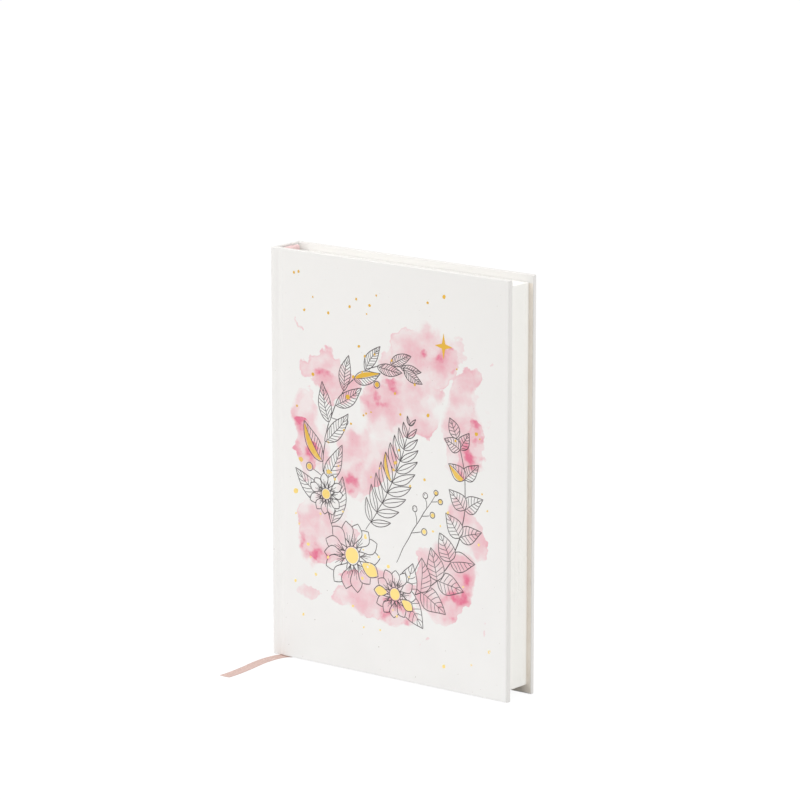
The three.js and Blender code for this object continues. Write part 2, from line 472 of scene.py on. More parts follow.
@dataclass(frozen=True)
class CoverPaper(Paper):
    """Matt off-white paper with a few grey-brown flecks, a fine tooth and edges painted darker as shade.

    Attributes:
        fleck: Colour of the flecks.
        worn: Painted shade: the darker colour along the fore-edge and the head.
        fleck_spacing: Distance between two places where a fleck may lie.
        fleck_reach: Greatest radius of a fleck, as a share of that distance.
        shown_flecks: Share of those places that have one.
        fleck_strength: How strong the faintest fleck and the strongest are.
        cloud: Where the paper takes its second colour.
    """

    slot: str = "cover_paper"
    base: Colour = srgb(245, 244, 242)
    shade: Colour = srgb(243, 242, 240)
    roughness: Point = (0.62, 0.76)
    relief: Point = (0.35, 0.05)
    others: Extras = (("Specular IOR Level", 0.35),)
    fibre: float = 0.5
    fleck: Colour = srgb(146, 132, 118)
    worn: Colour = srgb(229, 227, 224)
    fleck_spacing: float = 8.5
    fleck_reach: float = 0.034
    shown_flecks: float = 0.45
    fleck_strength: Point = (0.15, 0.75)
    cloud: Cloud = Cloud(26.0, 3.0, 0.3, 0.7)

    def colour(self, graph: Graph, place: Value) -> Value:
        """The bare paper's colour at a place."""
        paper = graph.mix(graph.cloud(place, self.cloud), self.base, self.shade)
        spots = {"Vector": place, "Scale": 1 / self.fleck_spacing}
        near = graph.node("ShaderNodeTexVoronoi", {"voronoi_dimensions": "2D"}, spots, "Distance")
        pick, strength, reach = graph.parts(near.beside("Color"))
        dot = near < reach * self.fleck_reach
        seen = dot * (pick < self.shown_flecks) * strength.between(*self.fleck_strength)
        # Along the fore-edge and the head the paper's colour is painted darker, standing in for shade
        # there.
        edge = graph.node("ShaderNodeAttribute", {"attribute_name": EDGE_LAYER}, output="Fac")
        return graph.mix(edge, graph.mix(seen, paper, self.fleck), self.worn)


@dataclass(frozen=True)
class Wash:
    """One pool of watercolour on the front cover.

    Attributes:
        centre: Its middle, from the spine and from the tail.
        reach: Half its width and half its height.
        turn: How far it is turned, in degrees.
    """

    centre: Point
    reach: Point
    turn: float


@dataclass(frozen=True)
class Layer:
    """One layer of watercolour.

    Attributes:
        shore: Width over which it thins out, where it dried fast and where it dried slowly.
        strength: How strong it is where its cloud is thin and where it is full.
        rim: How dark the line along its shores is.
        cloud: Where it is strong.
        washes: Its pools.
    """

    shore: Point
    strength: Point
    rim: float
    cloud: Cloud
    washes: tuple[Wash, ...]


@dataclass(frozen=True)
class WashedPaper(CoverPaper):
    """The cover's paper under two layers of pink watercolour.

    Attributes:
        paints: Colour of the paint at growing amounts of pigment.
        slow: Where the first layer dried slowly; the second one did so everywhere else.
        wander: Width and detail of the noise that bends the shores.
        drift: How far that noise moves them.
        ragged: Width and detail of the noise that frays the shores.
        fray: How deep it frays them.
        grain: Width and detail of the pigment's grains.
        grain_strength: How strong the pigment is between its grains and on them.
        line: Depths at which the line along a shore starts, is darkest and ends.
        first: The wide, pale pools.
        second: The pools laid over them once they were dry.
    """

    paints: tuple[tuple[float, Colour], ...] = (
        (0.0, WHITE),
        (0.18, srgb(253, 231, 235)),
        (0.48, srgb(250, 198, 209)),
        (0.9, srgb(242, 128, 160)),
    )
    slow: Cloud = Cloud(34.0, 2.0, 0.42, 0.62)
    wander: Point = (21.0, 4.0)
    drift: float = 34.0
    ragged: Point = (5.5, 6.0)
    fray: float = 0.42
    grain: Point = (1.6, 5.0)
    grain_strength: Point = (0.82, 1.18)
    line: tuple[float, float, float] = (0.0, 0.04, 0.13)
    first: Layer = Layer(
        shore=(0.04, 0.46),
        strength=(0.1, 0.46),
        rim=0.12,
        cloud=Cloud(15.0, 5.0, 0.36, 0.7),
        washes=(
            Wash((98, 170), (30, 15), 16),
            Wash((124, 140), (15, 27), -8),
            Wash((84, 142), (26, 18), 30),
            Wash((40, 152), (20, 13), -24),
            Wash((25, 122), (11, 23), 12),
            Wash((60, 112), (24, 17), 40),
            Wash((36, 74), (21, 18), -18),
            Wash((66, 44), (27, 14), 14),
            Wash((112, 58), (19, 24), -30),
            Wash((127, 90), (10, 18), 20),
            Wash((28, 36), (9, 7), 0),
        ),
    )
    second: Layer = Layer(
        shore=(0.05, 0.55),
        strength=(0.16, 0.66),
        rim=0.1,
        cloud=Cloud(9.0, 4.0, 0.46, 0.66),
        washes=(
            Wash((112, 172), (14, 8), 20),
            Wash((130, 130), (8, 15), -10),
            Wash((76, 150), (13, 9), 30),
            Wash((34, 148), (10, 7), -30),
            Wash((22, 112), (7, 14), 10),
            Wash((54, 104), (12, 8), 40),
            Wash((28, 64), (12, 9), -18),
            Wash((80, 36), (14, 7), 10),
            Wash((118, 50), (9, 15), -30),
            Wash((18, 178), (1.3, 1.2), 0),
            Wash((141, 170), (1.5, 1.2), 0),
            Wash((137, 34), (1.2, 1.4), 0),
            Wash((98, 20), (1.4, 1.2), 0),
        ),
    )

    def colour(self, graph: Graph, place: Value) -> Value:
        """The colour of the paper and its washes at a place."""
        slow = graph.cloud(place, self.slow)
        fast = 1 - slow
        painted = self.paint(graph, place, self.first, slow, fast)
        painted = painted + self.paint(graph, place, self.second, fast, slow)
        pigment = painted * graph.noise(place, *self.grain).between(*self.grain_strength)
        paint = graph.ramp(pigment, self.paints)
        return graph.mix(1.0, super().colour(graph, place), paint, "MULTIPLY")

    def paint(self, graph: Graph, place: Value, layer: Layer, slow: Value, fast: Value) -> Value:
        """How much pigment a layer leaves at a place.

        Args:
            graph: The material's nodes.
            place: The place.
            layer: The layer.
            slow: Where it dried slowly, which leaves a wide, soft shore.
            fast: Where it dried fast, which leaves a line along the shore.

        Returns:
            The amount, from 0.
        """
        depth = self.pool(graph, place, layer.washes)
        start, dark, end = self.line
        body = depth.step(0.0, slow.between(*layer.shore))
        body = body * graph.cloud(place, layer.cloud).between(*layer.strength)
        return body + depth.step(start, dark) * (1 - depth.step(dark, end)) * fast * layer.rim

    def pool(self, graph: Graph, place: Value, washes: Sequence[Wash]) -> Value:
        """How deep in a layer's washes a place lies: above 0 inside, with ragged shores."""
        corner = front_corner()
        wander = graph.noise(place, *self.wander, output=1)
        push = graph.vector("SUBTRACT", {0: wander, 1: (0.5, 0.5, 0.5)})
        pushed = graph.vector("SCALE", {0: push, "Scale": self.drift})
        warped = graph.vector("ADD", {0: place, 1: pushed})
        depth: Value | None = None
        for wash in washes:
            inputs = {
                "Vector": warped,
                "Location": (corner.x + wash.centre[0], corner.z + wash.centre[1], 0.0),
                "Rotation": (0.0, 0.0, math.radians(wash.turn)),
                "Scale": (*wash.reach, 1000.0),
            }
            local = graph.node("ShaderNodeMapping", {"vector_type": "TEXTURE"}, inputs)
            here = 1 - graph.vector("LENGTH", {0: local}, 1)
            depth = here if depth is None else depth.larger(here)
        return depth + (graph.noise(place, *self.ragged) - 0.5) * self.fray


@dataclass(frozen=True)
class EndPaper(Paper):
    """Uncoated cream paper, faintly cloudy; its tone is a little darker and warmer than the paper's own, as
    painted shade for the strip beside the leaves' fore-edge.
    """

    slot: str = "endpaper"
    # A little darker and warmer than the paper itself: painted shade for the strip beside the leaves.
    base: Colour = srgb(237, 230, 220)
    shade: Colour = srgb(233, 225, 214)
    roughness: Point = (0.78, 0.88)
    relief: Point = (0.3, 0.04)
    others: Extras = (("Specular IOR Level", 0.25),)
    cloud: Cloud = Cloud(8.0, 5.0, 0.3, 0.7)

    def colour(self, graph: Graph, place: Value) -> Value:
        """The endpaper's colour at a place."""
        return graph.mix(graph.cloud(place, self.cloud), self.base, self.shade)


@dataclass(frozen=True)
class DotGridPaper(Paper):
    """Writing paper with a grid of small grey dots inside a plain margin."""

    slot: str = "pages"
    base: Colour = srgb(250, 249, 245)
    shade: Colour = srgb(168, 168, 172)
    roughness: Point = (0.75, 0.85)
    relief: Point = (0.25, 0.03)
    others: Extras = (("Specular IOR Level", 0.25),)
    fibre: float = 0.6
    pitch: float = 5.0
    dot_radius: float = 0.32
    dot_strength: float = 0.85
    margin: float = 7.0

    def colour(self, graph: Graph, place: Value) -> Value:
        """The colour of the page and its dots at a place."""
        leaf = Extent.of("section_01")
        along, height, _ = graph.parts(place)
        inside: Operand = self.dot_strength
        square: Operand = 0.0
        for value, low, high in ((along, leaf.low.x, leaf.high.x), (height, leaf.low.z, leaf.high.z)):
            from_dot = (value - low).off_centre(self.pitch) * self.pitch
            square = from_dot * from_dot + square
            inside = (value > low + self.margin) * (value < high - self.margin) * inside
        return graph.mix((square < self.dot_radius**2) * inside, self.base, self.shade)


@dataclass(frozen=True)
class Satin(Finish):
    """Woven ribbon: fine threads along it, a cord at each edge and a soft gleam.

    Attributes:
        thread: Width of a thread.
        weft_ratio: How much wider a thread across the ribbon is than one along it.
        half_width: Half the ribbon's width.
        cord: Where the edge's cord starts and where it is full, as shares of that.
        cloud: Where the ribbon is darker.
    """

    slot: str = "pink_satin"
    base: Colour = srgb(216, 182, 170)
    shade: Colour = srgb(202, 161, 150)
    roughness: Point = (0.42, 0.62)
    relief: Point = (0.4, 0.04)
    others: Extras = (("Sheen Weight", 0.25),)
    thread: float = 0.16
    weft_ratio: float = 2.4
    half_width: float = 3.15
    cord: Point = (0.86, 0.95)
    cloud: Cloud = Cloud(6.0, 3.0, 0.3, 0.75)

    def draw(self, graph: Graph) -> None:
        """Adds the nodes of the ribbon."""
        place = graph.flat_millimetres()
        across, along, _ = graph.parts(place)
        warp = across.wave(self.thread)
        weft = along.wave(self.weft_ratio * self.thread)
        edge = (abs(across) / self.half_width).step(*self.cord)
        weave = warp * (1 - edge * 0.7) + weft * edge.between(0.2, 1.0)
        # Darker between the threads: painted shade; the cloud adds random tone and the edge cords are
        # darker too.
        tone = (1 - weave * 0.5) * 0.35 + graph.cloud(place, self.cloud) * 0.25 + edge * 0.25
        self.coat(graph, graph.mix(tone, self.base, self.shade), edge, weave)


@dataclass(frozen=True)
class Yarn(Finish):
    """Spun cotton or linen with twisted strands; shade is the darker colour painted between the strands as
    shade, and in the fluff as random tone.

    Attributes:
        strand: Width of one strand.
        second: Colour of every other thread.
        repeat: Distance along Y over which the two colours alternate.
    """

    base: Colour = srgb(252, 234, 232)
    shade: Colour = srgb(208, 168, 168)
    roughness: Point = (0.8, 0.9)
    relief: Point = (0.5, 0.05)
    others: Extras = (("Sheen Weight", 0.2),)
    strand: float = 0.16
    second: Colour = srgb(245, 208, 208)
    repeat: float = 0.68

    def draw(self, graph: Graph) -> None:
        """Adds the nodes of the yarn."""
        place = graph.solid_millimetres()
        east, north, up = graph.parts(place)
        twist = (east + north * 0.6 + up).wave(self.strand)
        fuzz = graph.noise(place, 0.9, 4.0)
        thread = graph.mix((north / self.repeat).fraction() > 0.5, self.base, self.second)
        # Painted shade between the strands, where the twist is low; the fluff adds random darker tone.
        colour = graph.mix((1 - twist) * 0.35 + fuzz * 0.3, thread, self.shade)
        self.coat(graph, colour, fuzz, twist)


@dataclass(frozen=True)
class Kraft(Finish):
    """Brown kraft paper, ribbed in the direction that it was made."""

    slot: str = "kraft_paper"
    base: Colour = srgb(190, 155, 112)
    shade: Colour = srgb(160, 126, 88)
    roughness: Point = (0.8, 0.9)
    relief: Point = (0.3, 0.05)
    rib: float = 0.8

    def draw(self, graph: Graph) -> None:
        """Adds the nodes of the kraft paper."""
        place = graph.solid_millimetres()
        ribs = graph.parts(place)[1].wave(self.rib)
        fibre = graph.noise(place, 1.4, 6.0)
        self.coat(graph, graph.mix(ribs * 0.25 + fibre * 0.6, self.base, self.shade), fibre, ribs)


@dataclass(frozen=True)
class Gauze(Finish):
    """Open binder's gauze, glued down flat; shade is the colour in its holes."""

    slot: str = "gauze"
    base: Colour = srgb(236, 231, 219)
    shade: Colour = srgb(196, 186, 168)
    roughness: Point = (0.85, 0.95)
    relief: Point = (0.5, 0.1)
    mesh: float = 1.1
    thread_edge: Point = (0.3, 0.4)

    def draw(self, graph: Graph) -> None:
        """Adds the nodes of the gauze."""
        place = graph.solid_millimetres()
        threads = [abs(value.off_centre(self.mesh)) for value in graph.parts(place)[1:]]
        woven = threads[0].larger(threads[1]).step(*self.thread_edge)
        colour = graph.mix(woven, self.shade, self.base)
        self.coat(graph, colour, graph.noise(place, 1.0, 3.0), woven)


@dataclass(frozen=True)
class Ink(Finish):
    """Dark grey pen line that the paper drinks a little."""

    base: Colour = srgb(62, 56, 58)
    shade: Colour = srgb(98, 90, 92)
    roughness: Point = (0.55, 0.75)
    thin: Point = (0.42, 0.7)

    def draw(self, graph: Graph) -> None:
        """Adds the nodes of the ink."""
        flow = graph.noise(graph.solid_millimetres(), 3.0, 4.0)
        self.coat(graph, graph.mix(flow.step(*self.thin), self.base, self.shade), flow)


@dataclass(frozen=True)
class Foil(Finish):
    """Pressed gold foil, deeper towards the head, with a fine wrinkle."""

    base: Colour = srgb(252, 226, 146)
    shade: Colour = srgb(224, 180, 76)
    roughness: Point = (0.26, 0.46)
    relief: Point = (0.3, 0.06)
    others: Extras = (("Metallic", 1.0),)
    change: Point = (70.0, 135.0)
    drift: float = 30.0

    def draw(self, graph: Graph) -> None:
        """Adds the nodes of the foil."""
        place = graph.solid_millimetres()
        wrinkle = graph.noise(place, 1.6, 4.0)
        tone = (graph.parts(place)[2] + (wrinkle - 0.5) * self.drift).step(*self.change)
        self.coat(graph, graph.mix(tone, self.base, self.shade), wrinkle, wrinkle)


@dataclass(frozen=True)
class StudioFloor(Finish):
    """White floor that the camera sees as white paper, with the object's shadow kept on it.

    Attributes:
        glow: Share of plain white in what the camera sees.
        strength: How bright that white is.
        bounce: Colour that the floor lights the object with.
    """

    glow: float = 0.88
    strength: float = 1.08
    bounce: Colour = (0.8, 0.8, 0.8, 1.0)

    def draw(self, graph: Graph) -> None:
        """Adds the nodes of the floor."""
        matt = graph.shader("ShaderNodeBsdfDiffuse", {"Color": self.bounce})
        white = graph.shader("ShaderNodeEmission", {"Color": WHITE, "Strength": self.strength})
        share = graph.seen() * self.glow
        graph.finish(graph.shader("ShaderNodeMixShader", {0: share, 1: matt, 2: white}))


class Form:
    """A mesh in the making, in millimetres."""

    def __init__(self) -> None:
        """Starts an empty mesh."""
        self.bm = bmesh.new()

    def edges(self, verts: Sequence[bmesh.types.BMVert]) -> list[bmesh.types.BMEdge]:
        """The edges at some corners, each once."""
        return list(dict.fromkeys(edge for vert in verts for edge in vert.link_edges))

    def faces(self, verts: Sequence[bmesh.types.BMVert]) -> list[bmesh.types.BMFace]:
        """The faces at some corners, each once."""
        return list(dict.fromkeys(face for vert in verts for face in vert.link_faces))

    def block(self, low: Sequence[float], high: Sequence[float], rounding: float) -> None:
        """Adds a box with rounded edges.

        Args:
            low: Its lowest corner.
            high: Its highest corner.
            rounding: Radius of its edges.
        """
        verts = bmesh.ops.create_cube(self.bm, size=1.0)["verts"]
        bmesh.ops.scale(self.bm, vec=Vector(high) - Vector(low), verts=verts)
        bmesh.ops.translate(self.bm, vec=(Vector(low) + Vector(high)) / 2, verts=verts)
        bmesh.ops.bevel(
            self.bm,
            geom=self.edges(verts),
            offset=rounding,
            segments=ROUNDING_STEPS,
            profile=0.5,
            affect="EDGES",
            material=-1,
            clamp_overlap=True,
        )

    def pulled(self, corners: Sequence[Vector], pull: Vector) -> list[bmesh.types.BMFace]:
        """Adds a flat face and pulls a solid out of it.

        Args:
            corners: The face's corners, in order.
            pull: How far its copy moves.

        Returns:
            The copy and the face.
        """
        made = bmesh.ops.create_circle(self.bm, cap_ends=True, segments=len(corners), radius=1.0)["verts"]
        for vert, corner in zip(made, corners):
            vert.co = corner
        start = made[0].link_faces[0]
        grown = bmesh.ops.extrude_face_region(self.bm, geom=[start])["geom"]
        moved = [item for item in grown if isinstance(item, bmesh.types.BMVert)]
        bmesh.ops.translate(self.bm, vec=pull, verts=moved)
        return [*(item for item in grown if isinstance(item, bmesh.types.BMFace)), start]

    def raised(self, outline: Sequence[Point], low: float, high: float, rim: float) -> None:
        """Raises a plan outline into a solid.

        Args:
            outline: Its corners in plan, in order.
            low: Height of the bottom.
            high: Height of the top.
            rim: Radius of the edges round the top and the bottom.
        """
        corners = [Vector((along, depth, low + rim)) for along, depth in outline]
        ends = self.pulled(corners, Vector((0.0, 0.0, high - low - 2 * rim)))
        bmesh.ops.recalc_face_normals(self.bm, faces=self.bm.faces)
        for end in ends:
            self.round_rim(end, rim)

    def round_rim(self, face: bmesh.types.BMFace, radius: float) -> None:
        """Rounds the edges of an end face by insets that climb a quarter circle."""
        quarter = [math.radians(angle) for angle in spaced(0, 90, ROUNDING_STEPS)]
        for start, end in zip(quarter, quarter[1:]):
            bmesh.ops.inset_region(
                self.bm,
                faces=[face],
                thickness=radius * (math.cos(start) - math.cos(end)),
                depth=radius * (math.sin(end) - math.sin(start)),
                use_boundary=True,
                use_even_offset=True,
            )

    def sheet(
        self,
        path: Sequence[Point],
        heights: Sequence[float],
        thickness: float,
        relief: Callable[[float, float], float] | None = None,
    ) -> None:
        """Adds a sheet of paper that stands on a path in plan.

        Args:
            path: Points in plan along the sheet's middle.
            heights: Heights of the sheet's grid lines.
            thickness: The paper's thickness.
            relief: How far the sheet is pressed along Y at a place along it and a height.
        """
        columns, rows = len(path) - 1, len(heights) - 1
        verts = bmesh.ops.create_grid(self.bm, x_segments=columns, y_segments=rows, size=1.0)["verts"]
        for vert in verts:
            along, depth = path[round((vert.co.x + 1) / 2 * columns)]
            height = heights[round((vert.co.y + 1) / 2 * rows)]
            pressed = relief(along, height) if relief else 0.0
            vert.co = (along, depth + pressed, height)
        self.bm.normal_update()
        bmesh.ops.solidify(self.bm, geom=self.faces(verts), thickness=thickness)

    def cut_along(self, places: Sequence[float]) -> None:
        """Cuts the mesh across X at each place."""
        for place in places:
            geom = [*self.bm.verts, *self.bm.edges, *self.bm.faces]
            cut = {"plane_co": (place, 0, 0), "plane_no": (1, 0, 0)}
            bmesh.ops.bisect_plane(self.bm, geom=geom, dist=1e-4, **cut)

    def lay_flat(self, upright: bool = False) -> None:
        """Gives each face flat coordinates in millimetres.

        Args:
            upright: Whether even the edges take the coordinates of the standing sheet.
        """
        layer = self.bm.loops.layers.uv.new(FLAT_LAYER)
        for face in self.bm.faces:
            normal = [abs(number) for number in face.normal]
            across = 1 if upright else normal.index(max(normal))
            first, second = (axis for axis in range(3) if axis != across)
            for loop in face.loops:
                loop[layer].uv = (loop.vert.co[first], loop.vert.co[second])

    def finished(self, name: str, finishes: Sequence[Finish], sharp: float) -> bpy.types.Object:
        """Turns the mesh into a piece at the origin.

        Args:
            name: The piece's name.
            finishes: Its finishes; faces pick one by their material index.
            sharp: Edges that turn more than this, in degrees, stay crisp.

        Returns:
            The piece.
        """
        bmesh.ops.recalc_face_normals(self.bm, faces=self.bm.faces)
        bmesh.ops.scale(self.bm, vec=(MM, MM, MM), verts=self.bm.verts)
        mesh = bpy.data.meshes.new(name)
        self.bm.to_mesh(mesh)
        self.bm.free()
        return piece_from(mesh, name, finishes, sharp)


def piece_from(
    mesh: bpy.types.Mesh, name: str, finishes: Sequence[Finish], sharp: float
) -> bpy.types.Object:
    """Puts a finished mesh in the scene.

    Args:
        mesh: The mesh, in metres and in its place.
        name: The piece's name.
        finishes: Its finishes.
        sharp: Edges that turn more than this, in degrees, stay crisp.

    Returns:
        The piece.
    """
    mesh.polygons.foreach_set("use_smooth", [True] * len(mesh.polygons))
    mesh.set_sharp_from_angle(angle=math.radians(sharp))
    for finish in finishes:
        mesh.materials.append(finish.material())
    piece = linked(name, mesh)
    piece.modifiers.new("even_shading", "WEIGHTED_NORMAL").keep_sharp = True
    LOG.info("%s: %d faces", name, len(mesh.polygons))
    return piece


def linked(name: str, data: bpy.types.ID) -> bpy.types.Object:
    """Puts an object round some data in the scene."""
    thing = bpy.data.objects.new(name, data)
    bpy.context.scene.collection.objects.link(thing)
    return thing


def turn_towards(thing: bpy.types.Object, place: Vector, ahead: Vector) -> None:
    """Stands a camera or a lamp at a place in millimetres, looking ahead."""
    thing.location = place * MM
    thing.rotation_mode = "QUATERNION"
    thing.rotation_quaternion = ahead.to_track_quat("-Z", "Y")


@dataclass
class PhotoCamera:
    """The camera, where the photograph was taken from.

    Attributes:
        azimuth: Degrees round the book from its front cover towards its fore-edge.
        elevation: Degrees above the level.
        distance: From the target to the camera.
        lens: Focal length.
        sensor: Width of the sensor that it belongs to.
        target: The point that it looks at.
        rise: How far the picture is shifted, as a share of its width.
        clip: Nearest and furthest distance that it sees, in metres.
    """

    azimuth: float = 38.16
    elevation: float = 13.13
    distance: float = 2353.8
    lens: float = 207.9
    sensor: float = 36.0
    target: Vector = field(default_factory=lambda: Vector((0.0, -1.46, 108.5)))
    rise: float = 0.0866
    clip: Point = (0.1, 50.0)

    def place(self) -> None:
        """Adds the camera and makes it the scene's own."""
        aside, above = math.radians(self.azimuth), math.radians(self.elevation)
        level = math.cos(above)
        back = Vector((math.sin(aside) * level, -math.cos(aside) * level, math.sin(above)))
        data = bpy.data.cameras.new("camera")
        data.lens = self.lens
        data.sensor_width = self.sensor
        data.shift_y = self.rise
        data.clip_start, data.clip_end = self.clip
        camera = linked("camera", data)
        turn_towards(camera, self.target + back * self.distance, -back)
        bpy.context.scene.camera = camera


@dataclass
class Lamp:
    """One soft box.

    Attributes:
        name: Its name.
        place: Where it stands.
        size: Width of its face.
        power: In watts.
    """

    name: str
    place: Vector
    size: float
    power: float

    def light(self, aim: Vector) -> None:
        """Adds the lamp, turned towards a point."""
        data = bpy.data.lights.new(self.name, "AREA")
        data.shape = "SQUARE"
        data.size = self.size * MM
        data.energy = self.power
        turn_towards(linked(self.name, data), self.place, aim - self.place)


@dataclass
class Studio:
    """A white floor, an even white surrounding and four soft boxes.

    Attributes:
        floor_size: Width of the floor.
        surround: Strength of the light from all round.
        lamps: The soft boxes.
        aim: The point that they light.
    """

    floor_size: float = 9000.0
    surround: float = 0.675
    lamps: tuple[Lamp, ...] = (
        Lamp("key", Vector((-300.0, -850.0, 520.0)), 560.0, 1.75),
        Lamp("side", Vector((900.0, 250.0, 420.0)), 700.0, 2.16),
        Lamp("top", Vector((0.0, -60.0, 1000.0)), 700.0, 1.75),
        Lamp("head", Vector((-150.0, -300.0, 620.0)), 400.0, 0.78),
    )
    aim: Vector = field(default_factory=lambda: Vector((0.0, 0.0, 110.0)))

    def build(self) -> None:
        """Adds the floor, the surrounding and the lamps."""
        form = Form()
        bmesh.ops.create_grid(form.bm, x_segments=1, y_segments=1, size=self.floor_size / 2)
        floor = form.finished("floor", [StudioFloor("studio_floor")], CRISP_ANGLE)
        self.surround_with_white()
        for lamp in self.lamps:
            lamp.light(self.aim)
        bpy.context.scene.view_settings.view_transform = "Standard"

    def surround_with_white(self) -> None:
        """Lights the scene evenly, and shows plain white where the camera sees past it."""
        world = bpy.data.worlds.new("surround")
        graph = Graph(world)
        level = graph.node("ShaderNodeMapRange", None, {"Value": graph.seen(), "To Min": self.surround})
        graph.finish(graph.shader("ShaderNodeBackground", {"Color": WHITE, "Strength": level}))
        bpy.context.scene.world = world


@dataclass
class RibbonMarker:
    """The flat ribbon: held between the middle sections, under the book and out in front of it.

    Attributes:
        width: The ribbon's width.
        thickness: Its thickness.
        crown: How far its edges lift off the surface.
        columns: Strips across it.
        drop_radius: Radius of the turn under the book.
        drop_steps: Stretches that the fall to that turn, the turn and the run out of it are made of.
        top_from_fold: Where it starts at the head, from the fold of the leaves.
        top_inset: How far below the head of the leaves it starts.
        swing: Share of the free end's slant that the stretch under the block starts with.
        tail_route: The free end's middle line, as distance from the spine's outer face and distance
            in front of the front cover's outer face.
    """

    width: float = 6.3
    thickness: float = 0.18
    crown: float = 0.1
    columns: int = 10
    drop_radius: float = 1.6
    drop_steps: tuple[int, int, int] = (20, 6, 8)
    top_from_fold: float = 4.6
    top_inset: float = 2.0
    swing: float = 0.5
    tail_route: tuple[Point, ...] = (
        (8.6, -2.2),
        (7.3, -0.6),
        (6.3, 1.6),
        (5.6, 4.2),
        (5.2, 7.0),
        (5.0, 10.0),
        (5.0, 13.2),
        (5.15, 16.6),
        (5.55, 20.0),
        (6.1, 23.6),
        (6.7, 27.2),
        (7.15, 30.8),
        (7.6, 34.4),
        (7.95, 38.2),
        (8.2, 41.8),
        (8.3, 45.4),
        (8.2, 49.0),
    )

    def build(self) -> None:
        """Builds the free end and the held stretch."""
        tail = self.tail_points()
        self.build_tail(tail)
        marker = self.strip("ribbon_in_the_block", self.marker_points(tail), 1, 0.0)
        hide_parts("ribbon_marker")
        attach(marker, BLOCK_BODY)

    def build_tail(self, route: list[Vector]) -> None:
        """Builds the free end."""
        tail = self.strip("ribbon_free_end", route, 4, self.crown)
        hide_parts("ribbon_tail")
        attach(tail, BLOCK_BODY)

    def tail_points(self) -> list[Vector]:
        """The free end's route in the frame."""
        corner, middle = front_corner(), self.thickness / 2
        return [Vector((corner.x + along, corner.y - out, middle)) for along, out in self.tail_route]

    def marker_points(self, tail: list[Vector]) -> list[Vector]:
        """The held stretch's route: down between the leaves, round under them and forward."""
        leaves = Extent.of("section_06")
        fall, round_under, run = self.drop_steps
        end = tail[0]
        away = (tail[0] - tail[1]).normalized()
        drop_x = end.x - self.swing * away.x / away.y * end.y
        top = Vector((leaves.low.x + self.top_from_fold, 0.0, leaves.high.z - self.top_inset))
        turn = end.z + self.drop_radius
        points = []
        for rise in reversed([share**2 for share in spaced(0, 1, fall)]):
            across = rise * rise * (3 - 2 * rise)
            points.append(Vector((drop_x + (top.x - drop_x) * across, 0.0, turn + (top.z - turn) * rise)))
        for out, down in arc((self.drop_radius, 0.0), self.drop_radius, 180, 270, round_under)[1:]:
            points.append(Vector((drop_x, -out, turn + down)))
        start = points[-1]
        reach = (end - start).length / 3
        bend = (start, start - Vector((0.0, reach, 0.0)), end + away * reach, end)
        points.extend(self.swung(bend, share) for share in spaced(0, 1, run)[1:])
        return points

    def swung(self, bend: Sequence[Vector], share: float) -> Vector:
        """A place on a cubic bend through four points."""
        left = 1 - share
        weights = (left**3, 3 * left**2 * share, 3 * left * share**2, share**3)
        return sum((point * weight for point, weight in zip(bend, weights)), Vector())

    def strip(self, name: str, route: list[Vector], parts: int, crown: float) -> bpy.types.Object:
        """Sweeps the ribbon along a route.

        Args:
            name: The piece's name.
            route: Its middle line.
            parts: Stretches to add between two points of the route.
            crown: How far its edges lift.

        Returns:
            The piece, whose flat coordinates run across and along it.
        """
        line = smoothed(route, parts) if parts > 1 else route
        rows = len(line) - 1
        travelled = [0.0]
        for start, end in zip(line, line[1:]):
            travelled.append(travelled[-1] + (end - start).length)
        form = Form()
        layer = form.bm.loops.layers.uv.new(FLAT_LAYER)
        made = bmesh.ops.create_grid(form.bm, x_segments=self.columns, y_segments=rows, size=1.0)["verts"]
        flat = {}
        for vert in made:
            across = vert.co.x
            row = round((vert.co.y + 1) / 2 * rows)
            ahead = (line[min(row + 1, rows)] - line[max(row - 1, 0)]).normalized()
            side = (Vector((1, 0, 0)) - ahead * ahead.x).normalized()
            up = ahead.cross(side) if ahead.cross(side).z >= 0 else side.cross(ahead)
            flat[vert] = (across * self.width / 2, travelled[row])
            vert.co = line[row] + side * (across * self.width / 2) + up * (crown * across * across)
        for face in form.bm.faces:
            for loop in face.loops:
                loop[layer].uv = flat[loop.vert]
        form.bm.normal_update()
        bmesh.ops.solidify(form.bm, geom=form.bm.faces[:], thickness=self.thickness)
        return form.finished(name, [Satin("pink_satin_ribbon")], SOFT_ANGLE)


